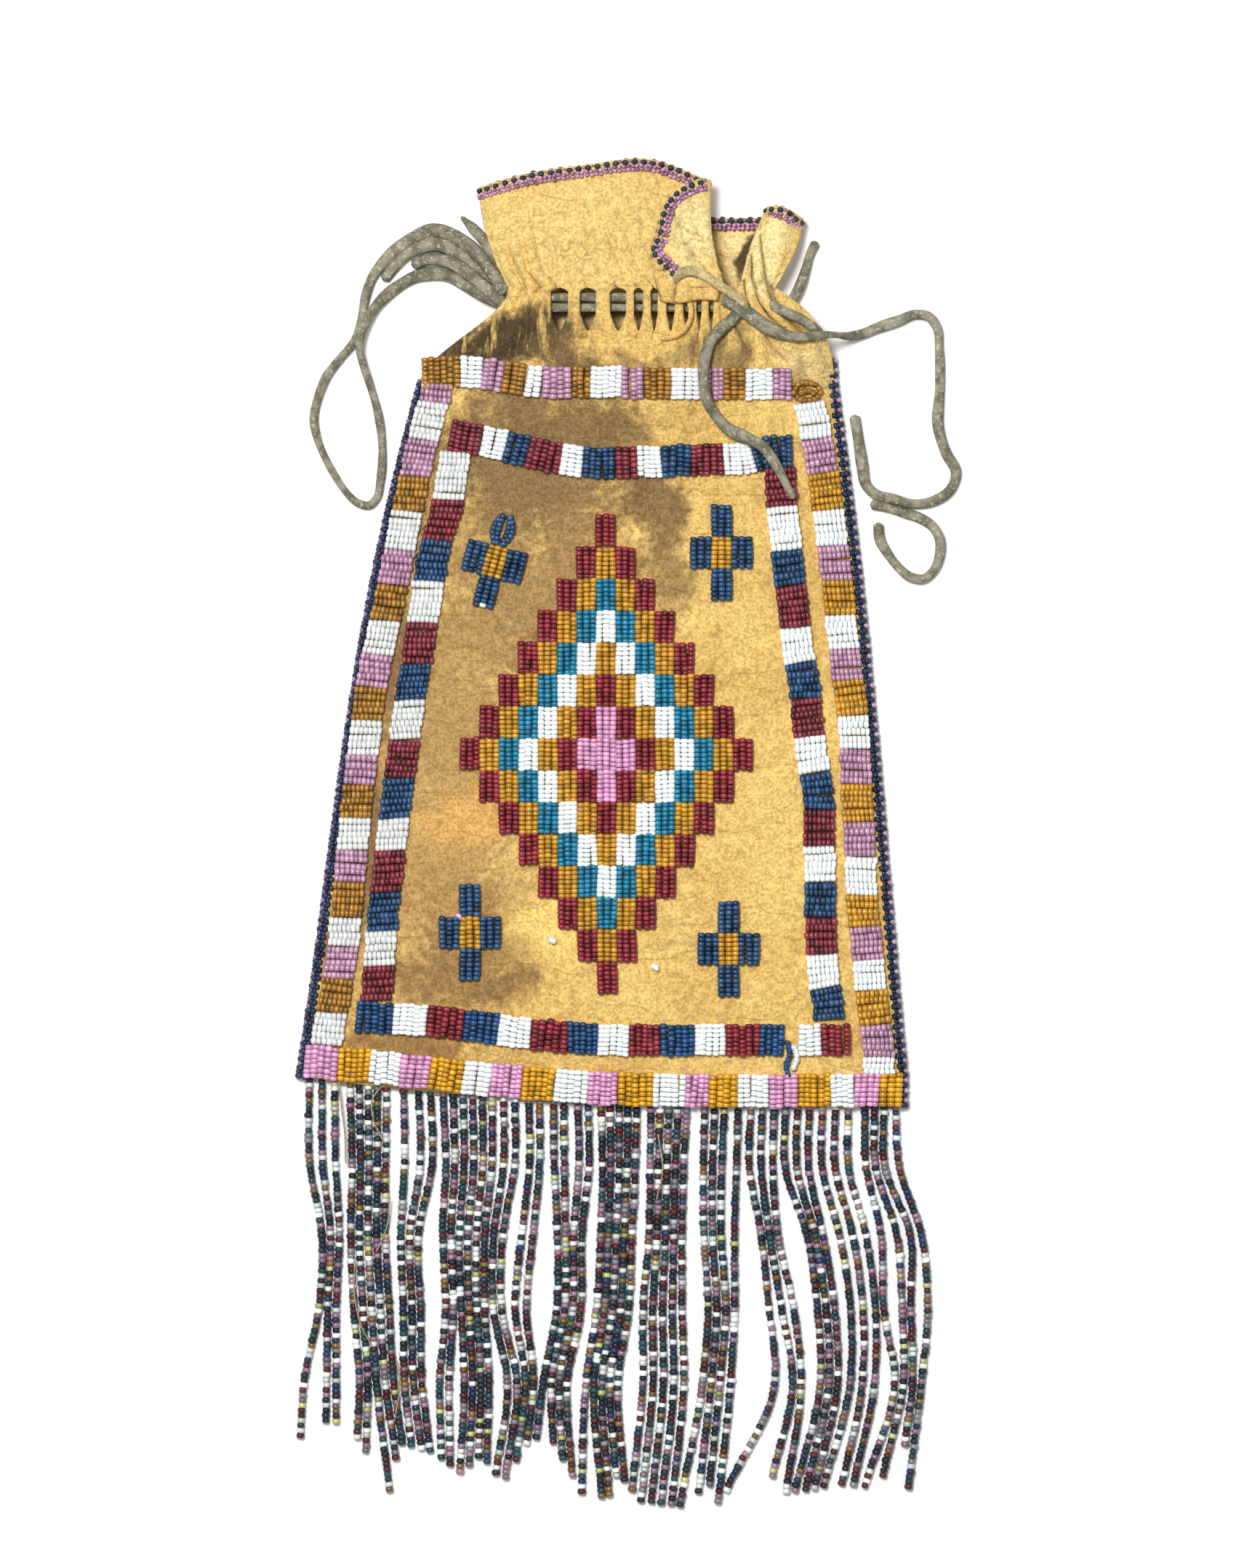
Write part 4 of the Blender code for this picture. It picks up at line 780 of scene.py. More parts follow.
def tanned_hide(name, stains_and_shade, light, middle, gathered):
    """Smoke-tanned suede: mottled ochre with a fine nap, pale fibres that are partly painted sheen, ragged brown
    stains, streaks and creases, and painted shade deep in the creased folds.

    Each stain and each patch of painted shade is (x, y, half width, half length, turn in degrees, depth, colour) on the
    bag, in millimetres.
    Gathered is the stretch of y, in millimetres, over which pale streaks run up and down.
    """
    finish = Finish(name)
    noise, blend = finish.noise, finish.blend

    def stretched(x_scale, y_scale, degrees, detail=2.0, roughness=0.5):
        turned = finish.node("ShaderNodeMapping", {"vector_type": "POINT"}, {
            "Vector": finish.place, "Rotation": (0.0, 0.0, math.radians(degrees)), "Scale": (x_scale, y_scale, 200.0)})
        return noise(1.0, detail, roughness, turned)

    cloudy, patchy = noise(24.0, 4.0, 0.6), noise(85.0, 5.0, 0.65)
    mottled, grain = noise(360.0, 4.0, 0.65), noise(1100.0, 3.0, 0.6)
    x, y = finish.node("ShaderNodeSeparateXYZ", None, {"Vector": finish.place}, out=("X", "Y"))
    ragged = (patchy - 0.5) * 1.3 + (mottled - 0.5) * 0.7
    warped_x = x + (noise(38.0, 3.0) - 0.5) * STAIN_WARP
    warped_y = y + (noise(43.0, 3.0) - 0.5) * STAIN_WARP
    colour = blend((cloudy * 0.55 + patchy * 0.45).rise(0.40, 0.60), middle, light)
    for cx, cy, rx, ry, turn, depth, patch_colour in stains_and_shade:
        a = math.radians(turn)
        dx, dy = warped_x - cx * MM, warped_y - cy * MM
        along = (dx * math.cos(a) + dy * math.sin(a)) / (rx * MM)
        beside = (dy * math.cos(a) - dx * math.sin(a)) / (ry * MM)
        mask = 1.0 - ((along * along + beside * beside).math("SQRT") + ragged).rise(0.45, 1.2)
        colour = blend(mask * depth, colour, (*patch_colour, 1.0))
    low, high = gathered
    inside = y.rise((low - 4) * MM, low * MM) * (1.0 - y.rise(high * MM, (high + 3) * MM))
    streaks = stretched(330.0, 38.0, 0.0, 3.0, 0.6).rise(0.50, 0.62)
    colour = blend(inside * streaks * 0.65, colour, light)
    shade = blend((mottled * 0.38 + grain * 0.62).rise(0.36, 0.64), (0.62, 0.56, 0.47, 1.0), (1.22, 1.22, 1.20, 1.0))
    colour = blend(0.85, colour, shade, "MULTIPLY")
    creases = 1.0 - (stretched(30.0, 90.0, 18.0) - 0.5).math("ABSOLUTE").rise(0.0, 0.018)
    colour = blend(creases * patchy.rise(0.45, 0.62) * 0.45, colour, (0.30, 0.18, 0.07, 1.0))
    # Pale strokes of the nap: partly the fibres' own paler colour, partly painted sheen where the fuzz catches the
    # light.
    pale_fibres_and_sheen = stretched(2400.0, 420.0, 38.0).math("MAXIMUM", stretched(2200.0, 380.0, -52.0))
    colour = blend(pale_fibres_and_sheen.rise(0.60, 0.80) * 0.25, colour, (0.98, 0.78, 0.40, 1.0))
    # Painted shade: the colour goes to deep brown where a point lies deep in a creased fold.
    folded = finish.attribute("crease", "Fac")
    colour = blend(folded.rise(0.18, 0.75) * 0.72, colour, (0.15, 0.095, 0.04, 1.0))
    height = mottled * 0.7 + grain * 0.35 + patchy * 0.8 + pale_fibres_and_sheen * 0.3 - creases * 0.35
    return finish.done({
        "Base Color": colour, "Roughness": 0.84 + grain * 0.14, "Specular IOR Level": 0.12,
        "Sheen Weight": 0.1, "Sheen Roughness": 0.6}, (0.8, 0.6 * MM, height))


FRONT_STAINS = (
    (-60.0, 0.0, 48.0, 118.0, 0.0, 0.65, (0.504, 0.323, 0.119)),
    (-17.0, 84.0, 38.0, 27.0, 0.0, 0.97, (0.266, 0.165, 0.0711)),
    (-14.0, 40.0, 38.0, 32.0, 0.0, 0.85, (0.367, 0.229, 0.091)),
    (-49.0, 13.0, 20.0, 36.0, 0.0, 0.70, (0.462, 0.289, 0.111)),
    (17.0, 68.0, 12.0, 14.0, 12.0, 0.85, (0.202, 0.124, 0.0542)),
    (19.0, 50.0, 9.0, 16.0, 12.0, 0.80, (0.3, 0.188, 0.0723)),
    (-69.0, 2.0, 102.0, 8.0, 80.4, 0.90, (0.269, 0.153, 0.068)),
    (-45.0, -29.0, 11.0, 14.0, 0.0, 0.85, (0.80, 0.46, 0.14)),
    (-44.0, -48.0, 22.0, 14.0, 0.0, 0.60, (0.454, 0.264, 0.102)),
    (-41.0, -67.0, 21.0, 19.0, 0.0, 0.92, (0.395, 0.23, 0.0808)),
    (-31.0, -77.0, 14.0, 6.0, 30.0, 0.70, (0.252, 0.145, 0.0553)),
    (-54.0, -72.0, 8.0, 12.0, 0.0, 0.55, (0.286, 0.17, 0.0638)),
    (-19.0, -60.0, 13.0, 14.0, 0.0, 0.95, (1.00, 0.70, 0.22)),
    (-64.0, -94.0, 30.0, 4.5, -4.0, 0.90, (0.336, 0.187, 0.0638)),
    (1.0, 91.0, 10.0, 4.5, -10.0, 0.60, (0.252, 0.153, 0.0595)),
    (-33.0, 117.0, 30.0, 11.0, 12.0, 1.0, (0.085, 0.055, 0.026)),
    (-12.0, 114.0, 16.0, 5.5, 0.0, 0.90, (0.185, 0.119, 0.0553)),
    (12.0, 113.0, 14.0, 4.5, 0.0, 0.65, (0.353, 0.23, 0.0935)),
    (39.0, 113.0, 24.0, 7.0, -12.0, 0.80, (0.269, 0.187, 0.085)),
    (47.0, 108.0, 8.0, 4.0, -30.0, 0.50, (0.185, 0.136, 0.0765)),
    (-3.0, 152.0, 50.0, 24.0, 0.0, 0.75, (0.85, 0.635, 0.235)),
    (27.0, 150.0, 9.0, 15.0, 10.0, 0.65, (0.96, 0.82, 0.42)),
    (48.0, 145.0, 9.0, 18.0, -20.0, 0.80, (1.0, 0.86, 0.44)),
    (60.0, 114.0, 14.0, 8.0, -35.0, 0.50, (0.98, 0.80, 0.38)),
)
FRONT_SUEDE = tanned_hide(
    "front_suede", FRONT_STAINS, (0.88, 0.61, 0.20, 1.0), (0.74, 0.48, 0.15, 1.0), (118.0, 128.0))

front = hide_sheet("front_hide", *front_parts(), FRONT_SUEDE, "front_hide", "front_panel")


# The back is a plain piece of the same hide, flat on the table, gathered at the neck under a low collar of its own.
# It is sewn to the front down both sides and along the hem.
BACK_PLEAT_DEPTH, BACK_RIM_Y, BACK_RIM_WIDTH, BACK_COLUMNS = 0.5 * MM, 156.4 * MM, 90.0 * MM, 18
BACK_FLARE = 0.7 * COLLAR_FLARE


def back_surface(u, y):
    """Points of the back: the front's outline up to the slits, then a flared collar, with shallow gathers."""
    t = np.clip((y - SLIT_HIGH_Y) / (BACK_RIM_Y - SLIT_HIGH_Y), 0.0, 1.0)
    left = np.where(y <= SLIT_HIGH_Y, side_edge(y, -1), NECK_LEFT - BACK_FLARE * (1.0 - (1.0 - t) ** 2))
    rim_right = NECK_LEFT + BACK_RIM_WIDTH - BACK_FLARE
    right = np.where(y <= SLIT_HIGH_Y, side_edge(y, 1), mix(NECK_RIGHT, rim_right, ease(t)))
    x = mix(left[:, None], right[:, None], u[None] / BACK_COLUMNS)
    reach = up_shoulder(y) * ease((BACK_RIM_Y - y) / PLEAT_FADE)
    z = HIDE / 2 + BACK_PLEAT_DEPTH * reach[:, None] * (0.5 - 0.5 * np.cos(math.pi * u))[None]
    return np.stack([x, sagged(x, y), z], axis=-1)


back_rows = np.concatenate([
    np.linspace(HEM_Y, TOP_Y, 54)[:-1], np.linspace(TOP_Y, SLIT_HIGH_Y, 20)[:-1],
    np.linspace(SLIT_HIGH_Y, BACK_RIM_Y, 20),
])
back_points = back_surface(np.linspace(0.0, BACK_COLUMNS, BACK_COLUMNS * 4 + 1), back_rows)
BACK_STAINS_AND_SHADE = (
    (-20.0, 60.0, 46.0, 50.0, 0.0, 0.30, (0.44, 0.27, 0.11)),
    (30.0, -40.0, 50.0, 40.0, 0.0, 0.25, (0.46, 0.29, 0.12)),
    (10.0, 118.0, 60.0, 12.0, 0.0, 0.50, (0.32, 0.20, 0.09)),
    # Painted shadow: a dark streak on the back in the deep fold where the lobe stands over it.
    (43.0, 145.0, 2.6, 13.0, -12.0, 0.95, (0.05, 0.03, 0.015)),
)
# Painted light: the back's finish is paler than the front's, partly its own colour and partly lifted to make up for the
# shade it lies in inside the mouth.
PALE_LIT_BACK_SUEDE = tanned_hide(
    "pale_lit_back_suede", BACK_STAINS_AND_SHADE, (1.0, 0.82, 0.40, 1.0), (0.88, 0.68, 0.30, 1.0), (108.0, 140.0))
back_faces = grid_corners(*back_points.shape[:2])
back = hide_sheet("back_hide", back_points.reshape(-1, 3), back_faces, PALE_LIT_BACK_SUEDE, "back_hide", "back_panel")


# Three runs of the thong are held inside the neck: two behind the straps of the front, and one along the back.
def held_run(name, y, start, end, height, seed):
    """A straight run of thong from x = start to x = end, at the height that a function of x gives."""
    x = np.linspace(start, end, 13)
    centre = run_along(np.column_stack([x, np.full_like(x, y), height(x)]), THONG_STEP)
    turn = lengths_along(centre)[:, None] / (14 * MM) + seed
    shape = 1.0 + 0.08 * np.cos(2 * (angles_round(THONG_SIDES)[None] - turn))
    soft_tube(name, centre, THONG / 2 * shape, LACE, name.replace("lace_held", "neck_thong"))


def under_straps(y):
    """Height of a thong held just under the front's straps at y."""
    return lambda x: front_height(x, np.full_like(x, y)) - HIDE / 2 - FIT - THONG / 2 - 0.7 * PLEAT_DEPTH


upper_y = SLIT_HIGH_Y - HIDE - THONG / 2 - FIT
lower_y = upper_y - THONG - 2 * FIT
back_y = (SLIT_LOW_Y + SLIT_HIGH_Y) / 2
held_left, held_right = NECK_LEFT + THONG / 2, NECK_RIGHT - 2 * THONG
low_height = HIDE + BACK_PLEAT_DEPTH + FIT + THONG / 2
held_run("lace_held_upper", upper_y, held_left, NECK_LEFT + 0.57 * NECK_WIDTH, under_straps(upper_y), 1)
held_run("lace_held_lower", lower_y, held_left, FOLD_X - THONG / 2, under_straps(lower_y), 2)
held_run("lace_held_back", back_y, held_left, held_right, lambda x: np.full_like(x, low_height), 3)


# The hide is loose and creased round the thong at the right of the neck: its lower edge hangs over the last slits
# as a tongue, a rolled strip of it crosses the thong, and one strap has torn free at its lower end and curls.
STRIP_ROUNDING = 1.5 * MM


def soft_strip(name, stations, width, thickness, twist, material):
    """A soft flattened strip through points (x and y in the picture, height in millimetres), turning as it goes.

    radius = 1 / sqrt((cos(angle) / half width)^2 + (sin(angle) / half thickness)^2)
    """
    stations = np.asarray(stations, dtype=float)
    centre = run_along(np.column_stack([on_the_bag(stations[:, :2]), stations[:, 2] * MM]), THONG_STEP)
    along = lengths_along(centre)
    angle = angles_round(THONG_SIDES) + twist * along[:, None] / along[-1]
    radius = 1.0 / np.hypot(np.cos(angle) / (width / 2), np.sin(angle) / (thickness / 2))
    ends = np.minimum(along, along[-1] - along) / STRIP_ROUNDING
    soft_tube(name, centre, radius * np.clip(ends, 0.1, 1.0)[:, None] ** 0.4, material)


SHADED_SUEDE = tanned_hide("shaded_suede", (), (0.72, 0.60, 0.30, 1.0), (0.44, 0.36, 0.18, 1.0), (0.0, 1.0))
soft_strip("rolled_hide_strip", (
    (926, 389, 16.4), (934, 379, 17.6), (947, 374, 18.4), (962, 377, 18.8), (980, 388, 19.0), (998, 400, 19.0),
    (1014, 410, 18.4), (1028, 422, 17.0)), 3.3 * MM, 1.7 * MM, 0.7, SHADED_SUEDE)
soft_strip("loose_strap", (
    (946, 408, 14.8), (950, 426, 15.8), (948, 443, 16.4), (939, 457, 16.3), (925, 465, 15.8), (908, 467, 15.0)),
    1.8 * MM, 0.9 * MM, 1.2, FRONT_SUEDE)
soft_strip("lace_under_crossing", (
    (999, 449, 16.6), (1006, 440, 16.4), (1014, 431, 16.0), (1022, 424, 15.6)),
    3.4 * MM, 2.8 * MM, 0.3, LACE)
soft_strip("lace_over_shoulder", (
    (1052, 416, 12.0), (1066, 424, 13.9), (1082, 431, 14.6), (1100, 439, 13.8), (1117, 450, 12.9), (1131, 462, 11.6)),
    3.2 * MM, 2.6 * MM, 0.5, LACE)

# The tongue: its outline is in pixels of the picture and its heights are in millimetres.
across, down = np.meshgrid(np.linspace(0.0, 1.0, 33), np.linspace(0.0, 1.0, 13))
tongue_x = mix(899.0 + 12.0 * down, 992.0 - 5.0 * down, across)
tongue_y = 374.0 + 41.0 * down + 2.5 * np.sin(math.pi * across * 2.0) * down
tongue_rise = np.minimum(plump(across, 0.16), plump(1.0 - across, 0.10)) * plump(down, 0.35)
tongue_roll = 0.5 * np.sin(across * 15.0 + 1.0) * down
tongue_height = (14.2 + 2.5 * tongue_rise + tongue_roll - 0.5 * down**4) * MM
tongue_points = np.dstack([on_the_bag(np.dstack([tongue_x, tongue_y])), tongue_height])
tongue_points[..., 2] -= fold_marks(tongue_points[..., 0], tongue_points[..., 1])
hide_sheet("hide_tongue", tongue_points.reshape(-1, 3), grid_corners(*tongue_x.shape), FRONT_SUEDE, "front_hide")


# Every lane is lazy stitch: rows of six or seven seed beads strung across the lane, each row caught down at both
# of its ends, so that it arches up in the middle. The outer frame's blocks are white, rose and gold.
BEAD_SIDES = 8
BEAD_PROFILE = np.array([(-0.5, 0.74), (-0.3, 0.99), (0.3, 0.99), (0.5, 0.74)])
LANE_BEAD, BEAD_PITCH, BEAD_SINK = 1.95 * MM, 1.38 * MM, 0.1 * MM
ROW_PITCH, ROW_ARCH, LANE_WIDTH = 2.05 * MM, 0.45 * MM, 9.4 * MM
NARROWEST_BEAD, WIDEST_BEAD, BEAD_CROWDING = 1.9 * MM, 2.6 * MM, 1.16


def bead_glass():
    """Drawn glass: the bead's own colour, with painted shade on its end faces over the thread hole and where it meets
    its neighbours, faint swirls and dust.
    """
    finish = Finish("seed_bead_glass")
    glass, ends = finish.attribute("glass", "Color"), finish.attribute("ends", "Fac")
    swirl, dust = finish.noise(1500.0, 3.0, distortion=0.6), finish.noise(240.0, 4.0)
    # Painted shade: each bead is darker on its end faces, where its thread hole is and where it presses against the
    # next bead.
    colour = finish.blend(ends.rise(0.62, 1.0) * 0.22, glass, (0.18, 0.15, 0.14, 1.0), "MULTIPLY")
    colour = finish.blend(swirl.rise(0.45, 0.75) * 0.2, colour, (0.6, 0.58, 0.6, 1.0), "MULTIPLY")
    colour = finish.blend(dust.rise(0.52, 0.8) * 0.08, colour, (0.45, 0.36, 0.24, 1.0))
    roughness = 0.2 + dust.rise(0.4, 0.8) * 0.15
    return finish.done({"Base Color": colour, "Roughness": roughness, "IOR": 1.4, "Metallic": 0.2})


SEED_GLASS = bead_glass()


def bead_form(profile):
    """Points of one bead along its own axis, in rings given by (place along, share of the radius)."""
    along, ring = (np.repeat(values, BEAD_SIDES) for values in profile.T)
    turn = np.tile(angles_round(BEAD_SIDES), len(profile))
    return np.stack([along, ring * np.cos(turn), ring * np.sin(turn)], axis=1)


def string_beads(name, node, beads, up, profile=BEAD_PROFILE, threads=None):
    """Beads as one piece: each is the bead form, its axis along the thread, scaled to its own length and width.

    point = centre + length * along * axis + width / 2 * (ring * cos * side + ring * sin * up)
    Beads are arrays of their centres, axes, colours, lengths and widths. Threads are the points and faces of bare
    thread in the same piece, and its material.
    """
    centre, axis, colour, length, width = beads
    form = bead_form(profile)
    corners, sides = ring_grid(len(profile), BEAD_SIDES)
    axis = axis / np.linalg.norm(axis, axis=1, keepdims=True)
    side = np.cross(up, axis)
    side /= np.linalg.norm(side, axis=1, keepdims=True)
    up = np.cross(axis, side)
    count, size = len(centre), len(form)
    length, width = length[:, None, None], width[:, None, None] / 2
    points = (centre[:, None] + length * form[None, :, :1] * axis[:, None]
              + width * (form[None, :, 1:2] * side[:, None] + form[None, :, 2:] * up[:, None])).reshape(-1, 3)
    corners = (corners[None] + size * np.arange(count)[:, None]).ravel()
    sides = np.tile(sides, count)
    tint = np.repeat(np.concatenate([colour, np.ones((count, 1))], axis=1), size, axis=0)
    ends = np.tile(np.abs(form[:, 0]) * 2, count)
    materials, face_material = [SEED_GLASS], np.zeros(len(sides))
    if threads:
        thread_points, thread_faces, thread_material = threads
        corners = np.concatenate([corners, thread_faces.ravel() + len(points)])
        sides = np.concatenate([sides, np.full(len(thread_faces), 4)])
        face_material = np.concatenate([face_material, np.ones(len(thread_faces))])
        tint = np.concatenate([tint, np.ones((len(thread_points), 4))])
        ends = np.concatenate([ends, np.zeros(len(thread_points))])
        points = np.concatenate([points, thread_points])
        materials.append(thread_material)
    mesh = smooth_mesh(name, points, corners, sides, materials, face_material)
    mesh.attributes.new("glass", "FLOAT_COLOR", "POINT").data.foreach_set("color", tint.astype(np.float32).ravel())
    mesh.attributes.new("ends", "FLOAT", "POINT").data.foreach_set("value", ends.astype(np.float32))
    return add_piece(name, mesh, node)


def sewn_beads(name, node, parts, chance):
    """Beads sewn to the front in several parts, as one piece. Each sits a little out of true."""
    centres, axes, colours, lengths, widths = (np.concatenate(group) for group in zip(*parts))
    count = len(centres)
    up = np.array([[0.0, 0.0, 1.0]]) + chance.normal(0, 0.05, (count, 3))
    axes = axes + chance.normal(0, 0.03, (count, 3))
    lengths = lengths * (1.0 + chance.normal(0, 0.04, count))
    widths = widths * (1.0 + chance.normal(0, 0.025, count))
    return string_beads(name, node, (centres, axes, colours, lengths, widths), up)


WHITE, ROSE, GOLD = (0.94, 0.98, 0.98), (0.73, 0.365, 0.59), (0.69, 0.36, 0.018)
MAROON, BLUE, TURQUOISE = (0.24, 0.026, 0.038), (0.020, 0.074, 0.19), (0.018, 0.205, 0.335)
DULL_WHITE, DULL_ROSE = (0.79, 0.81, 0.79), (0.51, 0.29, 0.41)
BROWN_GOLD, AMBER = (0.36, 0.18, 0.03), (0.55, 0.285, 0.03)
DULL_MAROON, SLATE = (0.20, 0.032, 0.044), (0.024, 0.070, 0.155)
TONE_CHANGE = {
    WHITE: 0.03, DULL_WHITE: 0.08, ROSE: 0.15, DULL_ROSE: 0.18, GOLD: 0.22, BROWN_GOLD: 0.26, AMBER: 0.2,
    MAROON: 0.28, DULL_MAROON: 0.32, BLUE: 0.3, SLATE: 0.35, TURQUOISE: 0.22,
}


def hide_top(x, y):
    """Height of the front hide's upper face at a place on the body."""
    return front_height(x, y) + ripple(x, y) + HIDE / 2


def bead_rest(x, y):
    """Height of the middle of a bead sewn down at a place on the body."""
    return hide_top(x, y) + LANE_BEAD / 2 - BEAD_SINK


def tinted(colour, count, chance):
    """One colour for each bead: all a little lighter or darker, as glass from one batch is."""
    tone = 1.0 + TONE_CHANGE.get(colour, 0.15) * chance.normal(0, 1, (count, 1)).clip(-1.6, 1.6)
    return np.asarray(colour)[None] * tone


def lane_beads(route, start, breaks, along_axis, slope, chance, width):
    """Bead rows of one lane, block by block: centre, axis, colour, length and width of each bead.

    A row's middle is on the route. Its beads lie across it, turned by slope degrees and bowed a little along the
    lane, and the row arches up from its two caught ends: height = arch * (1 - (2 * place across / width) ^ 2).
    """
    line = run_along(on_the_bag(route), 1.0 * MM)
    along = lengths_along(line)
    pixel = line[:, 0] / PIXEL + ORIGIN_X if along_axis == "x" else ORIGIN_Y - line[:, 1] / PIXEL
    edges = np.interp([start, *(place for _, place in breaks)], pixel, along)
    rows = []
    for (colour, _), low, high in zip(breaks, edges, edges[1:]):
        count = max(int(round((high - low) / ROW_PITCH)), 1)
        spacing = (high - low) / count
        lean = slope + chance.normal(0, 1.6)
        for number in range(count):
            place = low + (number + 0.5 + chance.normal(0, 0.05)) * spacing
            middle, ahead, behind = (
                np.array([np.interp(place + step, along, column) for column in line.T]) for step in (0.0, MM, -MM))
            run = (ahead - behind) / np.linalg.norm(ahead - behind)
            turn = math.radians(lean + chance.normal(0, 1.3))
            over = np.array([-run[1], run[0]])
            over = over * math.cos(turn) + run * math.sin(turn)
            beads = 7 if chance.random() < 0.8 else 6
            step = width / beads * (1.0 + chance.normal(0, 0.015))
            t = (np.arange(beads) - (beads - 1) / 2) * step + chance.normal(0, 0.16) * MM
            fall = 1.0 - (2 * t / width) ** 2
            spot = middle + over * t[:, None] + run * (chance.normal(0, 0.14) * MM * fall)[:, None]
            arch = ROW_ARCH * fall.clip(0, 1) + chance.normal(0, 0.04, beads) * MM
            axis = np.column_stack([np.tile(over, (beads, 1)), -ROW_ARCH * 8 * t / width**2])
            thickness = np.clip(spacing * BEAD_CROWDING, NARROWEST_BEAD, WIDEST_BEAD)
            rows.append((np.column_stack([spot, arch]), axis, tinted(colour, beads, chance), np.full(beads, step),
                         np.full(beads, thickness)))
    centres, *others = (np.concatenate(group) for group in zip(*rows))
    centres[:, 2] += bead_rest(centres[:, 0], centres[:, 1])
    return centres, *others


def loose_string(pixels, colour, chance):
    """Beads on a thread that lies loose on the hide along points of the picture."""
    line = run_along(on_the_bag(pixels), BEAD_PITCH)
    count = len(line)
    height = hide_top(line[:, 0], line[:, 1]) + 0.6 * LANE_BEAD
    return (np.column_stack([line, height]), np.column_stack([np.gradient(line, axis=0), np.zeros(count)]),
            tinted(colour, count, chance), np.full(count, BEAD_PITCH), np.full(count, LANE_BEAD))


def lane(frame_name, place, route, start, word, ends, colours, along_axis, slope, seed, strings=(), width=LANE_WIDTH):
    """A lane of lazy stitch as one piece, with the loose strings that belong to it.

    The word has the first letter of each block's colour, and ends has the pixel at which each block ends.
    """
    chance = np.random.default_rng(seed)
    breaks = [(colours[letter], end) for letter, end in zip(word, ends)]
    parts = [lane_beads(route, start, breaks, along_axis, slope, chance, width)]
    parts += [loose_string(pixels, colour, chance) for pixels, colour in strings]
    sewn_beads(f"lane_{frame_name}_{place}", f"{frame_name}_lane_{place}", parts, chance)


OUTER = {"g": GOLD, "w": WHITE, "p": ROSE}
OUTER_TOP = {"g": BROWN_GOLD, "w": WHITE, "p": DULL_ROSE}
OUTER_LEFT = {"g": BROWN_GOLD, "w": DULL_WHITE, "p": DULL_ROSE}
OUTER_RIGHT = {"g": AMBER, "w": WHITE, "p": DULL_ROSE}
TORN_LOOP = (
    ((1091, 540), (1096, 530), (1108, 526), (1121, 529), (1128, 538), (1122, 547), (1109, 551), (1096, 547),
     (1092, 541)),
    ((1102, 540), (1110, 537), (1118, 540)),
)
lane("outer", "top", (
    (578, 513), (657, 513), (741, 526), (832, 526), (900, 528), (1090, 528)), 580, "gwpgwpgwpgwpgwp", (
    633, 663, 692, 722, 745, 786, 812, 855, 885, 922, 962, 995, 1025, 1063, 1088),
    OUTER_TOP, "x", 0, 21, [(pixels, BROWN_GOLD) for pixels in TORN_LOOP])
lane("outer", "left", (
    (605, 520), (600, 540), (575, 630), (555, 730), (530, 850), (510, 945), (498, 1040), (487, 1140), (478, 1240),
    (468, 1325), (452, 1415), (446, 1445)), 527, "pwpgwpgwpgwpgwpgwpgw", (
    553, 605, 655, 703, 756, 805, 853, 900, 945, 991, 1038, 1079, 1125, 1169, 1213, 1262, 1302, 1345, 1392, 1438),
    OUTER_LEFT, "y", -6, 22)
lane("outer", "right", (
    (1112, 548), (1127, 625), (1145, 750), (1160, 890), (1173, 985), (1178, 1080), (1183, 1180), (1186, 1255),
    (1192, 1300), (1200, 1385), (1207, 1430), (1209, 1480)), 553, "wpgwpgwpgwpgpwgpwgpw", (
    603, 650, 701, 751, 798, 845, 892, 935, 984, 1030, 1078, 1130, 1178, 1231, 1275, 1320, 1362, 1408, 1454, 1478),
    OUTER_RIGHT, "y", 3, 23)
lane("outer", "bottom", (
    (415, 1459), (440, 1461), (500, 1465), (600, 1477), (700, 1487), (800, 1495), (900, 1499), (1245, 1499)), 418,
    "pgwpgwpgwpgwpgwpgwpg", (
    465, 508, 550, 590, 635, 675, 718, 762, 808, 850, 898, 942, 975, 1015, 1057, 1098, 1142, 1175, 1210, 1242),
    OUTER, "x", 0, 24, width=10.0 * MM)


# The inner frame's blocks are maroon, white and blue. Its bottom lane has lost a few rows near the right end,
# and two short strings of its beads hang loose there.
INNER = {"r": MAROON, "w": WHITE, "b": BLUE}
# The inner top and right lanes take a darker maroon and blue, and the left lane a duller white as well.
INNER_DULL = {"r": DULL_MAROON, "w": WHITE, "b": SLATE}
INNER_LEFT = {"r": DULL_MAROON, "w": DULL_WHITE, "b": SLATE}
INNER_STRINGS = (
    (((1083, 1434), (1086, 1450), (1081, 1466), (1084, 1480)), BLUE),
    (((1092, 1440), (1096, 1454), (1091, 1468)), WHITE),
    (((757, 1292), (761, 1294)), WHITE), (((899, 1329), (903, 1331)), WHITE), (((630, 1259), (633, 1261)), ROSE),
)
lane("inner", "top", (
    (616, 597), (680, 610), (750, 627), (820, 637), (900, 635), (980, 632), (1030, 630), (1065, 621), (1092, 620)), 618,
    "rwbrwbrwbrwb", (662, 695, 725, 770, 802, 845, 877, 910, 950, 995, 1037, 1090), INNER_DULL, "x", 0, 31)
lane("inner", "left", (
    (628, 618), (615, 690), (595, 770), (577, 880), (560, 985), (545, 1100), (533, 1200), (525, 1280), (517, 1378)),
    620, "wrbwrbwrbwrbwr", (687, 743, 800, 857, 912, 963, 1017, 1070, 1125, 1170, 1227, 1280, 1328, 1376),
    INNER_LEFT, "y", -9, 32)
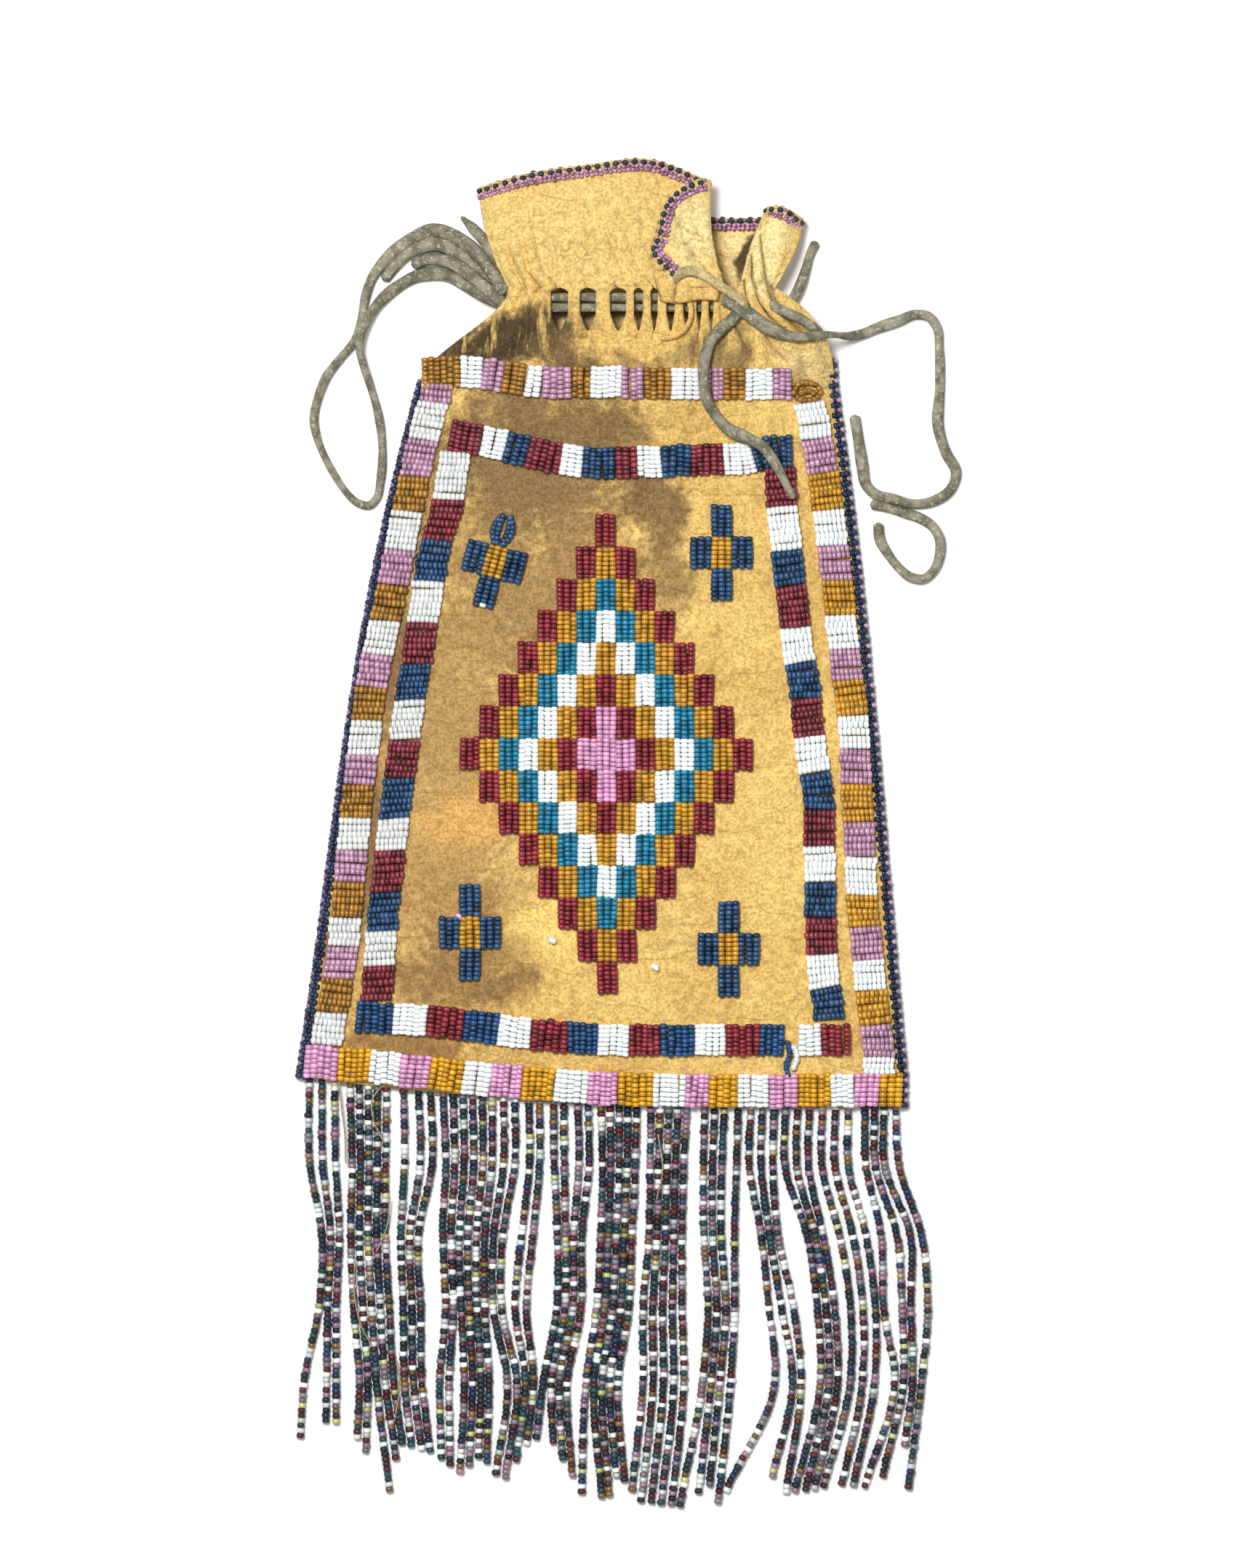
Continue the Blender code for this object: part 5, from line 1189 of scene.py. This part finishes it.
lane("inner", "right", (
    (1072, 641), (1078, 725), (1084, 780), (1091, 835), (1096, 885), (1105, 935), (1110, 985), (1115, 1037),
    (1125, 1088), (1126, 1138), (1127, 1190), (1128, 1237), (1129, 1287), (1131, 1335), (1138, 1380), (1140, 1405)),
    643, "rwbrwbrwbrwbrwb", (697, 757, 805, 862, 912, 961, 1013, 1063, 1113, 1164, 1213, 1262, 1312, 1358, 1403),
    INNER_DULL, "y", 0, 33)
lane("inner", "bottom", (
    (488, 1398), (582, 1403), (668, 1413), (764, 1425), (850, 1430), (969, 1430), (1080, 1430)), 490, "bwrbwrbwrbwrb", (
    540, 588, 637, 685, 730, 780, 822, 865, 908, 955, 997, 1045, 1078), INNER, "x", 0, 34, INNER_STRINGS)
lane("inner", "bottom_end", ((1096, 1430), (1130, 1430), (1170, 1430)), 1098, "wr", (1130, 1168), INNER, "x", 0, 35)


# The stepped diamond is sewn block by block, three threads of seven beads to a block, with the threads upright.
# From its edge inwards each row of blocks goes maroon, gold, turquoise, white, and round again to a rose middle.
BLOCK_WIDTH, BLOCK_LENGTH = 5.9 * MM, 9.64 * MM
DIAMOND_PLACE = (0.4 * MM, -6.0 * MM)
DIAMOND_HALF_ROWS = (
    "r", "rgr", "rgtgr", "rgtwtgr", "rgtwgwtgr", "rgtwgrgwtgr", "rgtwgrprgwtgr", "rgtwgrppprgwtgr",
)
DIAMOND_COLOURS = {"r": MAROON, "g": AMBER, "t": TURQUOISE, "w": WHITE, "p": ROSE}
THREADS, THREAD_BEADS = 3, 7
BLOCK_ARCH, DIAMOND_BARREL, DIAMOND_DRIFT = 0.42 * MM, 0.12 * MM, 0.25 * MM


def block_beads(middle, colour, chance, turn=0.0, spacing=BLOCK_WIDTH / THREADS, barrel=DIAMOND_BARREL):
    """Beads of one block: threads side by side, each arching up from its two ends by arch * (1 - t ^ 2).

    T goes from -1 to 1 along the block. A barrel block's outer threads bow outwards by that much.
    """
    thread, bead = np.meshgrid(np.arange(THREADS), np.arange(THREAD_BEADS), indexing="ij")
    t = (bead - 3) / 3.5
    side, half = thread - 1, BLOCK_LENGTH / 2
    x = side * (spacing + barrel * (1.0 - t**2)) + chance.normal(0, 0.06, (THREADS, 1)) * MM
    y = t * half + chance.normal(0, 0.12, (THREADS, 1)) * MM
    x = x + chance.normal(0, 0.13, (THREADS, 1)) * MM * t
    c, s = math.cos(turn), math.sin(turn)
    x, y = middle[0] + x * c - y * s, middle[1] + x * s + y * c
    z = BLOCK_ARCH * (1.0 - t**2) + bead_rest(x, y)
    sway, rise = (-side * barrel * 2 * t / half).ravel(), (-BLOCK_ARCH * 2 * t / half).ravel()
    count = x.size
    return (np.stack([x, y, z], axis=-1).reshape(-1, 3), np.column_stack([sway * c - s, sway * s + c, rise]),
            tinted(colour, count, chance), np.full(count, BEAD_PITCH), np.full(count, spacing * 1.15))


chance = np.random.default_rng(41)
diamond_parts = []
for row in range(-7, 8):
    word = DIAMOND_HALF_ROWS[7 - abs(row)]
    y = DIAMOND_PLACE[1] + row * BLOCK_LENGTH
    for number, letter in enumerate(word):
        x = DIAMOND_PLACE[0] - DIAMOND_DRIFT * row / 7 + (number - (len(word) - 1) / 2) * BLOCK_WIDTH
        diamond_parts.append(block_beads((x, y + chance.normal(0, 0.12) * MM), DIAMOND_COLOURS[letter], chance))
sewn_beads("diamond_beadwork", "diamond_medallion", diamond_parts, chance)


# Four crosses of five blocks each are sewn the same way: four blue arms round a gold middle.
# The upper left one was sewn on at a slant. The threads of its top arm have spread into an open loop, and the bead
# at the end of its lower arm is white.
CROSS_SPACING, CROSS_BARREL, UPPER_LEFT_TURN = 2.05 * MM, 0.22 * MM, -15.0
TORN_SPACING, TORN_BULGES = 0.8 * MM, (2.1 * MM, 0.8 * MM)
CROSSES = (
    ("cross_beadwork_1", "cross_upper_left", (680, 772), UPPER_LEFT_TURN),
    ("cross_beadwork_2", "cross_upper_right", (992, 760), 0.0),
    ("cross_beadwork_3", "cross_lower_left", (646, 1282), 0.0),
    ("cross_beadwork_4", "cross_lower_right", (1002, 1305), 0.0),
)
for name, node, pixel, slant in CROSSES:
    middle = on_the_bag(pixel)
    turn = math.radians(slant)
    parts = []
    for across_blocks, up_blocks in ((0, 0), (0, 1), (0, -1), (1, 0), (-1, 0)):
        dx, dy = across_blocks * THREADS * CROSS_SPACING, up_blocks * BLOCK_LENGTH
        x = middle[0] + dx * math.cos(turn) - dy * math.sin(turn)
        y = middle[1] + dx * math.sin(turn) + dy * math.cos(turn)
        colour = SLATE if across_blocks or up_blocks else AMBER
        if slant and up_blocks == 1:
            for bulge in TORN_BULGES:
                beads = block_beads((x, y), colour, chance, turn, TORN_SPACING, bulge)
                outer = [values[np.arange(len(values)) // THREAD_BEADS != 1] for values in beads]
                outer[-1][:] = LANE_BEAD
                parts.append(outer)
            continue
        beads = block_beads((x, y), colour, chance, turn, CROSS_SPACING, CROSS_BARREL)
        if slant and up_blocks == -1:
            beads[2][THREAD_BEADS] = WHITE
        parts.append(beads)
    sewn_beads(name, node, parts, chance)


# Both side seams are whipped with seed beads. Each stitch goes over the edge with navy beads outside,
# and a pale rose or lavender one between them.
NAVY, LAVENDER, DUSKY = (0.014, 0.028, 0.070), (0.50, 0.31, 0.42), (0.20, 0.13, 0.24)
TONE_CHANGE.update({NAVY: 0.35, LAVENDER: 0.2, DUSKY: 0.5})
EDGE_PROFILE = np.array([(-0.5, 0.66), (0.0, 1.0), (0.5, 0.66)])
SIDE_BEAD, SIDE_SWAY, SIDE_LEAN = (1.45 * MM, 2.0 * MM), 0.10, 0.12
SIDE_EDGINGS = (
    ("edging_left", "side_edging_left", -1, HEM_Y, TOP_Y, 2.5 * MM, DUSKY, 51),
    ("edging_right", "side_edging_right", 1, HEM_Y - HEM_DROP, TOP_Y + 6.0 * MM, 3.0 * MM, LAVENDER, 52),
)


def edging(name, node, path, pitch, outward, stitch, bead, sway, lean, seed, drop=0.0):
    """Stitches a pitch apart along an edge, as one piece. Outward is 1 where outside is left of the path, or -1.

    Each bead of a stitch is given by: millimetres outward, millimetres up, colour, share of the full length and
    width, how far along in pitches, and how steeply its axis dips outward.
    """
    chance = np.random.default_rng(seed)
    run, left, up = frames_along(path)
    out = left * outward
    count = len(path)
    rows = []
    for offset, lift, colour, share, slide, dip in stitch:
        spot = path + out * offset * MM + up * (lift * MM - drop) + run * slide * pitch
        spot = spot + chance.normal(0, 0.08, (count, 3)) * MM
        axis = out - up * dip + run * lean + chance.normal(0, sway, (count, 3))
        sizes = [np.full(count, full * share) for full in bead]
        rows.append((spot, axis, tinted(colour, count, chance), *sizes, up))
    *beads, up = (np.concatenate(group) for group in zip(*rows))
    return string_beads(name, node, beads, up, EDGE_PROFILE)


for name, node, side, low, high, pitch, pale, seed in SIDE_EDGINGS:
    y = np.linspace(low, high, 400)
    path = run_along(np.column_stack([side_edge(y, side), y, np.full_like(y, HIDE + FIT / 2)]), pitch)
    edging(name, node, path, pitch, -side, (
        (-1.15, 2.2, NAVY, 1.0, 0.0, 0.25), (0.1, 1.7, NAVY, 1.05, 0.04, 0.25), (0.5, 0.5, NAVY, 1.1, 0.0, 1.15),
        (-0.7, 1.3, NAVY, 1.0, 0.5, 0.25), (0.0, 0.6, NAVY, 1.1, 0.5, 0.25), (0.65, 1.2, pale, 0.85, 0.5, 1.15),
    ), SIDE_BEAD, SIDE_SWAY, SIDE_LEAN, seed)


# The rims of the collar, of its folded corner, of the lobe and of the back are whipped in the same way:
# each stitch has dark green beads over the rim, and pairs of rose beads inside it.
DARK_GREEN, RIM_ROSE = (0.012, 0.035, 0.026), (0.46, 0.23, 0.37)
TONE_CHANGE.update({DARK_GREEN: 0.35, RIM_ROSE: 0.3})
RIM_PITCH, RIM_BEAD, RIM_SWAY = 2.85 * MM, (1.35 * MM, 1.9 * MM), 0.12
RIM_STITCH = (
    (-1.0, 1.0, DARK_GREEN, 1.08, 0.0, 0.0), (-2.1, 1.35, RIM_ROSE, 0.78, -0.2, 0.0),
    (-2.2, 1.35, RIM_ROSE, 0.78, 0.28, 0.0), (-3.15, 1.35, RIM_ROSE, 0.78, -0.2, 0.0),
    (-3.3, 1.35, RIM_ROSE, 0.78, 0.28, 0.0), (-0.8, 0.2, RIM_ROSE, 0.8, 0.5, 0.0),
    (-0.5, -0.4, DARK_GREEN, 1.0, 0.1, 0.0),
)
RIMS = (
    ("front", collar[-1], 0.0), ("flap", flap[5:, -1], 0.0), ("lobe", lobe[-1], 0.0),
    ("back", back_points[-1], -0.9 * MM),
)
for seed, (rim_name, rim, drop) in enumerate(RIMS, start=61):
    edging(f"edging_{rim_name}_rim", f"rim_edging_{rim_name}", run_along(rim, RIM_PITCH), RIM_PITCH,
           1, RIM_STITCH, RIM_BEAD, RIM_SWAY, 0.0, seed, drop)


# The fringe hangs from the hem: twenty-six threads, each doubled into two strands and strung with seed beads
# of every colour left over, navy and white most of all. The strands hang in bunches and lie on the table.
STRAND_PAIRS, FRINGE_INSET, FRINGE_LENGTH = 26, 2.4 * MM, 114.4 * MM
FRINGE_BEAD, FRINGE_BEAD_LENGTH, FRINGE_PITCH = 2.48 * MM, 1.5 * MM, 1.53 * MM
THREAD_RADIUS, LOOSE_RADIUS, LOOSE_HEIGHT = 0.28 * MM, 0.22 * MM, 3.0 * MM
FRINGE_PROFILE = np.array([(-0.5, 0.84), (0.0, 1.0), (0.5, 0.84)])
# At five levels, given as shares of the fringe's length, its bunches: left edge, right edge and number of strands.
# The edges are shares of the hem's width from its left corner.
BUNCHES = (
    (0.154, ((0.016, 0.059, 3), (0.086, 0.142, 5), (0.173, 0.199, 2), (0.219, 0.219, 1),
        (0.241, 0.318, 6), (0.337, 0.356, 2), (0.380, 0.397, 2), (0.421, 0.438, 2), (0.462, 0.479, 2),
        (0.501, 0.556, 5), (0.580, 0.636, 5), (0.668, 0.699, 3), (0.723, 0.723, 1), (0.744, 0.842, 6),
        (0.864, 0.908, 3), (0.937, 0.968, 3), (0.992, 0.992, 1))),
    (0.346, ((0.036, 0.065, 3), (0.084, 0.141, 5), (0.167, 0.196, 3), (0.236, 0.306, 6),
        (0.321, 0.336, 2), (0.367, 0.386, 2), (0.426, 0.467, 4), (0.498, 0.550, 5), (0.578, 0.633, 5),
        (0.669, 0.698, 3), (0.720, 0.720, 1), (0.764, 0.792, 3), (0.840, 0.867, 3), (0.894, 0.938, 3),
        (0.963, 0.963, 1), (0.989, 1.011, 2), (1.030, 1.030, 1))),
    (0.538, ((0.031, 0.060, 3), (0.089, 0.148, 5), (0.171, 0.200, 3), (0.241, 0.306, 6),
        (0.320, 0.334, 2), (0.356, 0.375, 2), (0.425, 0.466, 4), (0.491, 0.545, 5), (0.568, 0.633, 5),
        (0.676, 0.705, 3), (0.720, 0.720, 1), (0.777, 0.818, 3), (0.857, 0.886, 3), (0.912, 0.953, 3),
        (0.967, 0.967, 1), (0.997, 1.012, 2), (1.040, 1.040, 1))),
    (0.731, ((0.007, 0.007, 1), (0.044, 0.060, 2), (0.098, 0.155, 5), (0.173, 0.202, 3),
        (0.231, 0.247, 2), (0.272, 0.313, 4), (0.343, 0.359, 2), (0.373, 0.387, 2), (0.403, 0.443, 4),
        (0.474, 0.527, 5), (0.568, 0.636, 5), (0.667, 0.696, 3), (0.714, 0.714, 1), (0.787, 0.787, 1),
        (0.816, 0.830, 2), (0.862, 0.891, 3), (0.912, 0.952, 3), (0.985, 0.985, 1), (1.000, 1.015, 2),
        (1.030, 1.030, 1))),
    (1.000, ((-0.005, -0.005, 1), (0.042, 0.059, 2), (0.092, 0.107, 2), (0.147, 0.147, 1),
        (0.165, 0.191, 3), (0.208, 0.235, 3), (0.249, 0.264, 2), (0.279, 0.323, 4), (0.339, 0.354, 2),
        (0.368, 0.383, 2), (0.421, 0.467, 4), (0.498, 0.551, 5), (0.568, 0.636, 5), (0.662, 0.696, 3),
        (0.712, 0.712, 1), (0.780, 0.780, 1), (0.807, 0.823, 2), (0.840, 0.869, 3), (0.898, 0.937, 3),
        (0.963, 0.963, 1), (0.994, 1.009, 2), (1.079, 1.079, 1))),
)
# How long the strands are: (place across, share of the fringe's length).
FRINGE_ENDS = np.array((
    (-0.005, 0.875), (0.051, 0.827), (0.094, 0.881), (0.150, 1.025), (0.172, 0.890), (0.221, 0.913),
    (0.265, 0.971), (0.298, 0.923), (0.335, 0.997), (0.371, 0.885), (0.412, 0.864), (0.467, 1.023),
    (0.509, 1.038), (0.527, 0.971), (0.566, 1.045), (0.636, 1.058), (0.678, 1.000), (0.702, 1.065),
    (0.720, 0.981), (0.780, 0.981), (0.804, 1.023), (0.846, 1.016), (0.888, 1.000), (0.955, 1.010),
    (0.991, 0.875), (1.009, 1.010), (1.079, 0.990),
))


def strand_places(bunches):
    """Place across of every strand at one level, spaced evenly inside its bunch."""
    return np.concatenate([np.linspace(left, right, count) for left, right, count in bunches])[:2 * STRAND_PAIRS]


def fringe_strands():
    """The points of all 52 strands: from the hem through the levels of the bunches to each strand's end."""
    left, right = side_edge(HEM_Y, -1) + FRINGE_INSET, side_edge(HEM_Y, 1) - FRINGE_INSET
    base, corner = HEM_Y - HEM_DROP, side_edge(HEM_Y, -1)
    even = np.linspace(left, right, 2 * STRAND_PAIRS)
    x = np.clip(mix(corner + strand_places(BUNCHES[0][1]) * HEM_WIDTH, even, 0.2), left, right)
    hem = HEM_Y - hem_sag(x) - FIT - 0.5 * MM
    levels = [
        (np.full_like(x, base - drop * FRINGE_LENGTH), corner + strand_places(bunches) * HEM_WIDTH)
        for drop, bunches in BUNCHES
    ]
    shares = strand_places(BUNCHES[-1][1])
    end_y = base - np.interp(shares, FRINGE_ENDS[:, 0], FRINGE_ENDS[:, 1]) * FRINGE_LENGTH
    (y0, x0), (y1, x1) = levels[-2:]
    end_x = mix(x0, x1, (end_y - y0) / (y1 - y0))
    rows = [(hem, x), *levels[:-1], (end_y, end_x)]
    lying = np.full_like(x, FRINGE_BEAD / 2 * 1.1)
    return np.stack([np.stack([place, level, lying], axis=-1) for level, place in rows], axis=1)


def thread_fibre():
    """Pale sinew thread: a tan colour along the fibre with a fine twist in it."""
    finish = Finish("sinew_thread")
    twist = finish.noise(1800.0, 2.0)
    colour = finish.blend(twist.rise(0.4, 0.65), (0.30, 0.22, 0.12, 1.0), (0.62, 0.52, 0.34, 1.0))
    return finish.done({"Base Color": colour, "Roughness": 0.6 + twist * 0.3})


SINEW = thread_fibre()
FRINGE_COLOURS = np.array([
    (0.014, 0.020, 0.032), (0.82, 0.86, 0.82), (0.30, 0.18, 0.24), (0.085, 0.016, 0.020),
    (0.20, 0.12, 0.04), (0.018, 0.062, 0.075), (0.016, 0.036, 0.10), (0.50, 0.50, 0.20), (0.20, 0.20, 0.22),
])
FRINGE_SHARES = np.array([0.25, 0.18, 0.13, 0.12, 0.06, 0.12, 0.05, 0.02, 0.07])
# Bare ends of thread that have worked loose, by the number of their pair, in pixels of the picture.
LOOSE_THREADS = {
    2: ((465, 1478), (469, 1520), (474, 1562), (475, 1600)),
    4: ((526, 1492), (512, 1512), (513, 1540), (527, 1570)),
    3: ((487, 1735), (488, 1790), (499, 1830), (511, 1850)),
    5: ((536, 1648), (531, 1690), (517, 1722)),
    6: ((545, 1870), (549, 1910), (543, 1950)),
    16: ((905, 1560), (911, 1610), (903, 1650)),
}


def thread_tubes(lines):
    """Thin square tubes along several lines, each given with its radius, as the points and faces of one mesh."""
    points, faces, count = [], [], 0
    for line, radius in lines:
        points.append(tube_points(line, radius, 4).reshape(-1, 3))
        faces.append(grid_corners(len(line), 4, wrapped=True) + count)
        count += len(points[-1])
    return np.concatenate(points), np.concatenate(faces), SINEW


strands = fringe_strands()
for pair in range(STRAND_PAIRS):
    chance = np.random.default_rng(71 + pair)
    lines = [run_along(strands[2 * pair + each], FRINGE_PITCH) for each in (0, 1)]
    line = np.concatenate(lines)
    count = len(line)
    run, left, up = (np.concatenate(group) for group in zip(*map(frames_along, lines)))
    spot = line + left * chance.normal(0, 0.07, (count, 1)) * MM + up * chance.normal(0, 0.05, (count, 1)) * MM
    axis = run + left * chance.normal(0, 0.09, (count, 1)) + up * chance.normal(0, 0.05, (count, 1))
    pick = chance.choice(len(FRINGE_COLOURS), count, p=FRINGE_SHARES / FRINGE_SHARES.sum())
    colour = FRINGE_COLOURS[pick] * (1.0 + 0.25 * chance.normal(0, 1, (count, 1)).clip(-1.5, 1.5))
    length = FRINGE_BEAD_LENGTH * (1.0 + chance.normal(0, 0.06, count))
    width = FRINGE_BEAD * (1.0 + chance.normal(0, 0.06, count))
    tubes = [(np.concatenate([lines[0][::-1], lines[1]]), THREAD_RADIUS)]
    if pair in LOOSE_THREADS:
        flat = on_the_bag(LOOSE_THREADS[pair])
        loose = run_along(np.column_stack([flat, np.full(len(flat), LOOSE_HEIGHT)]), MM)
        tubes.append((loose, LOOSE_RADIUS))
    string_beads(f"fringe_strands_{pair + 1:02d}", f"fringe_pair_{pair + 1:02d}",
                 (spot, axis, colour, length, width), up, FRINGE_PROFILE, thread_tubes(tubes))
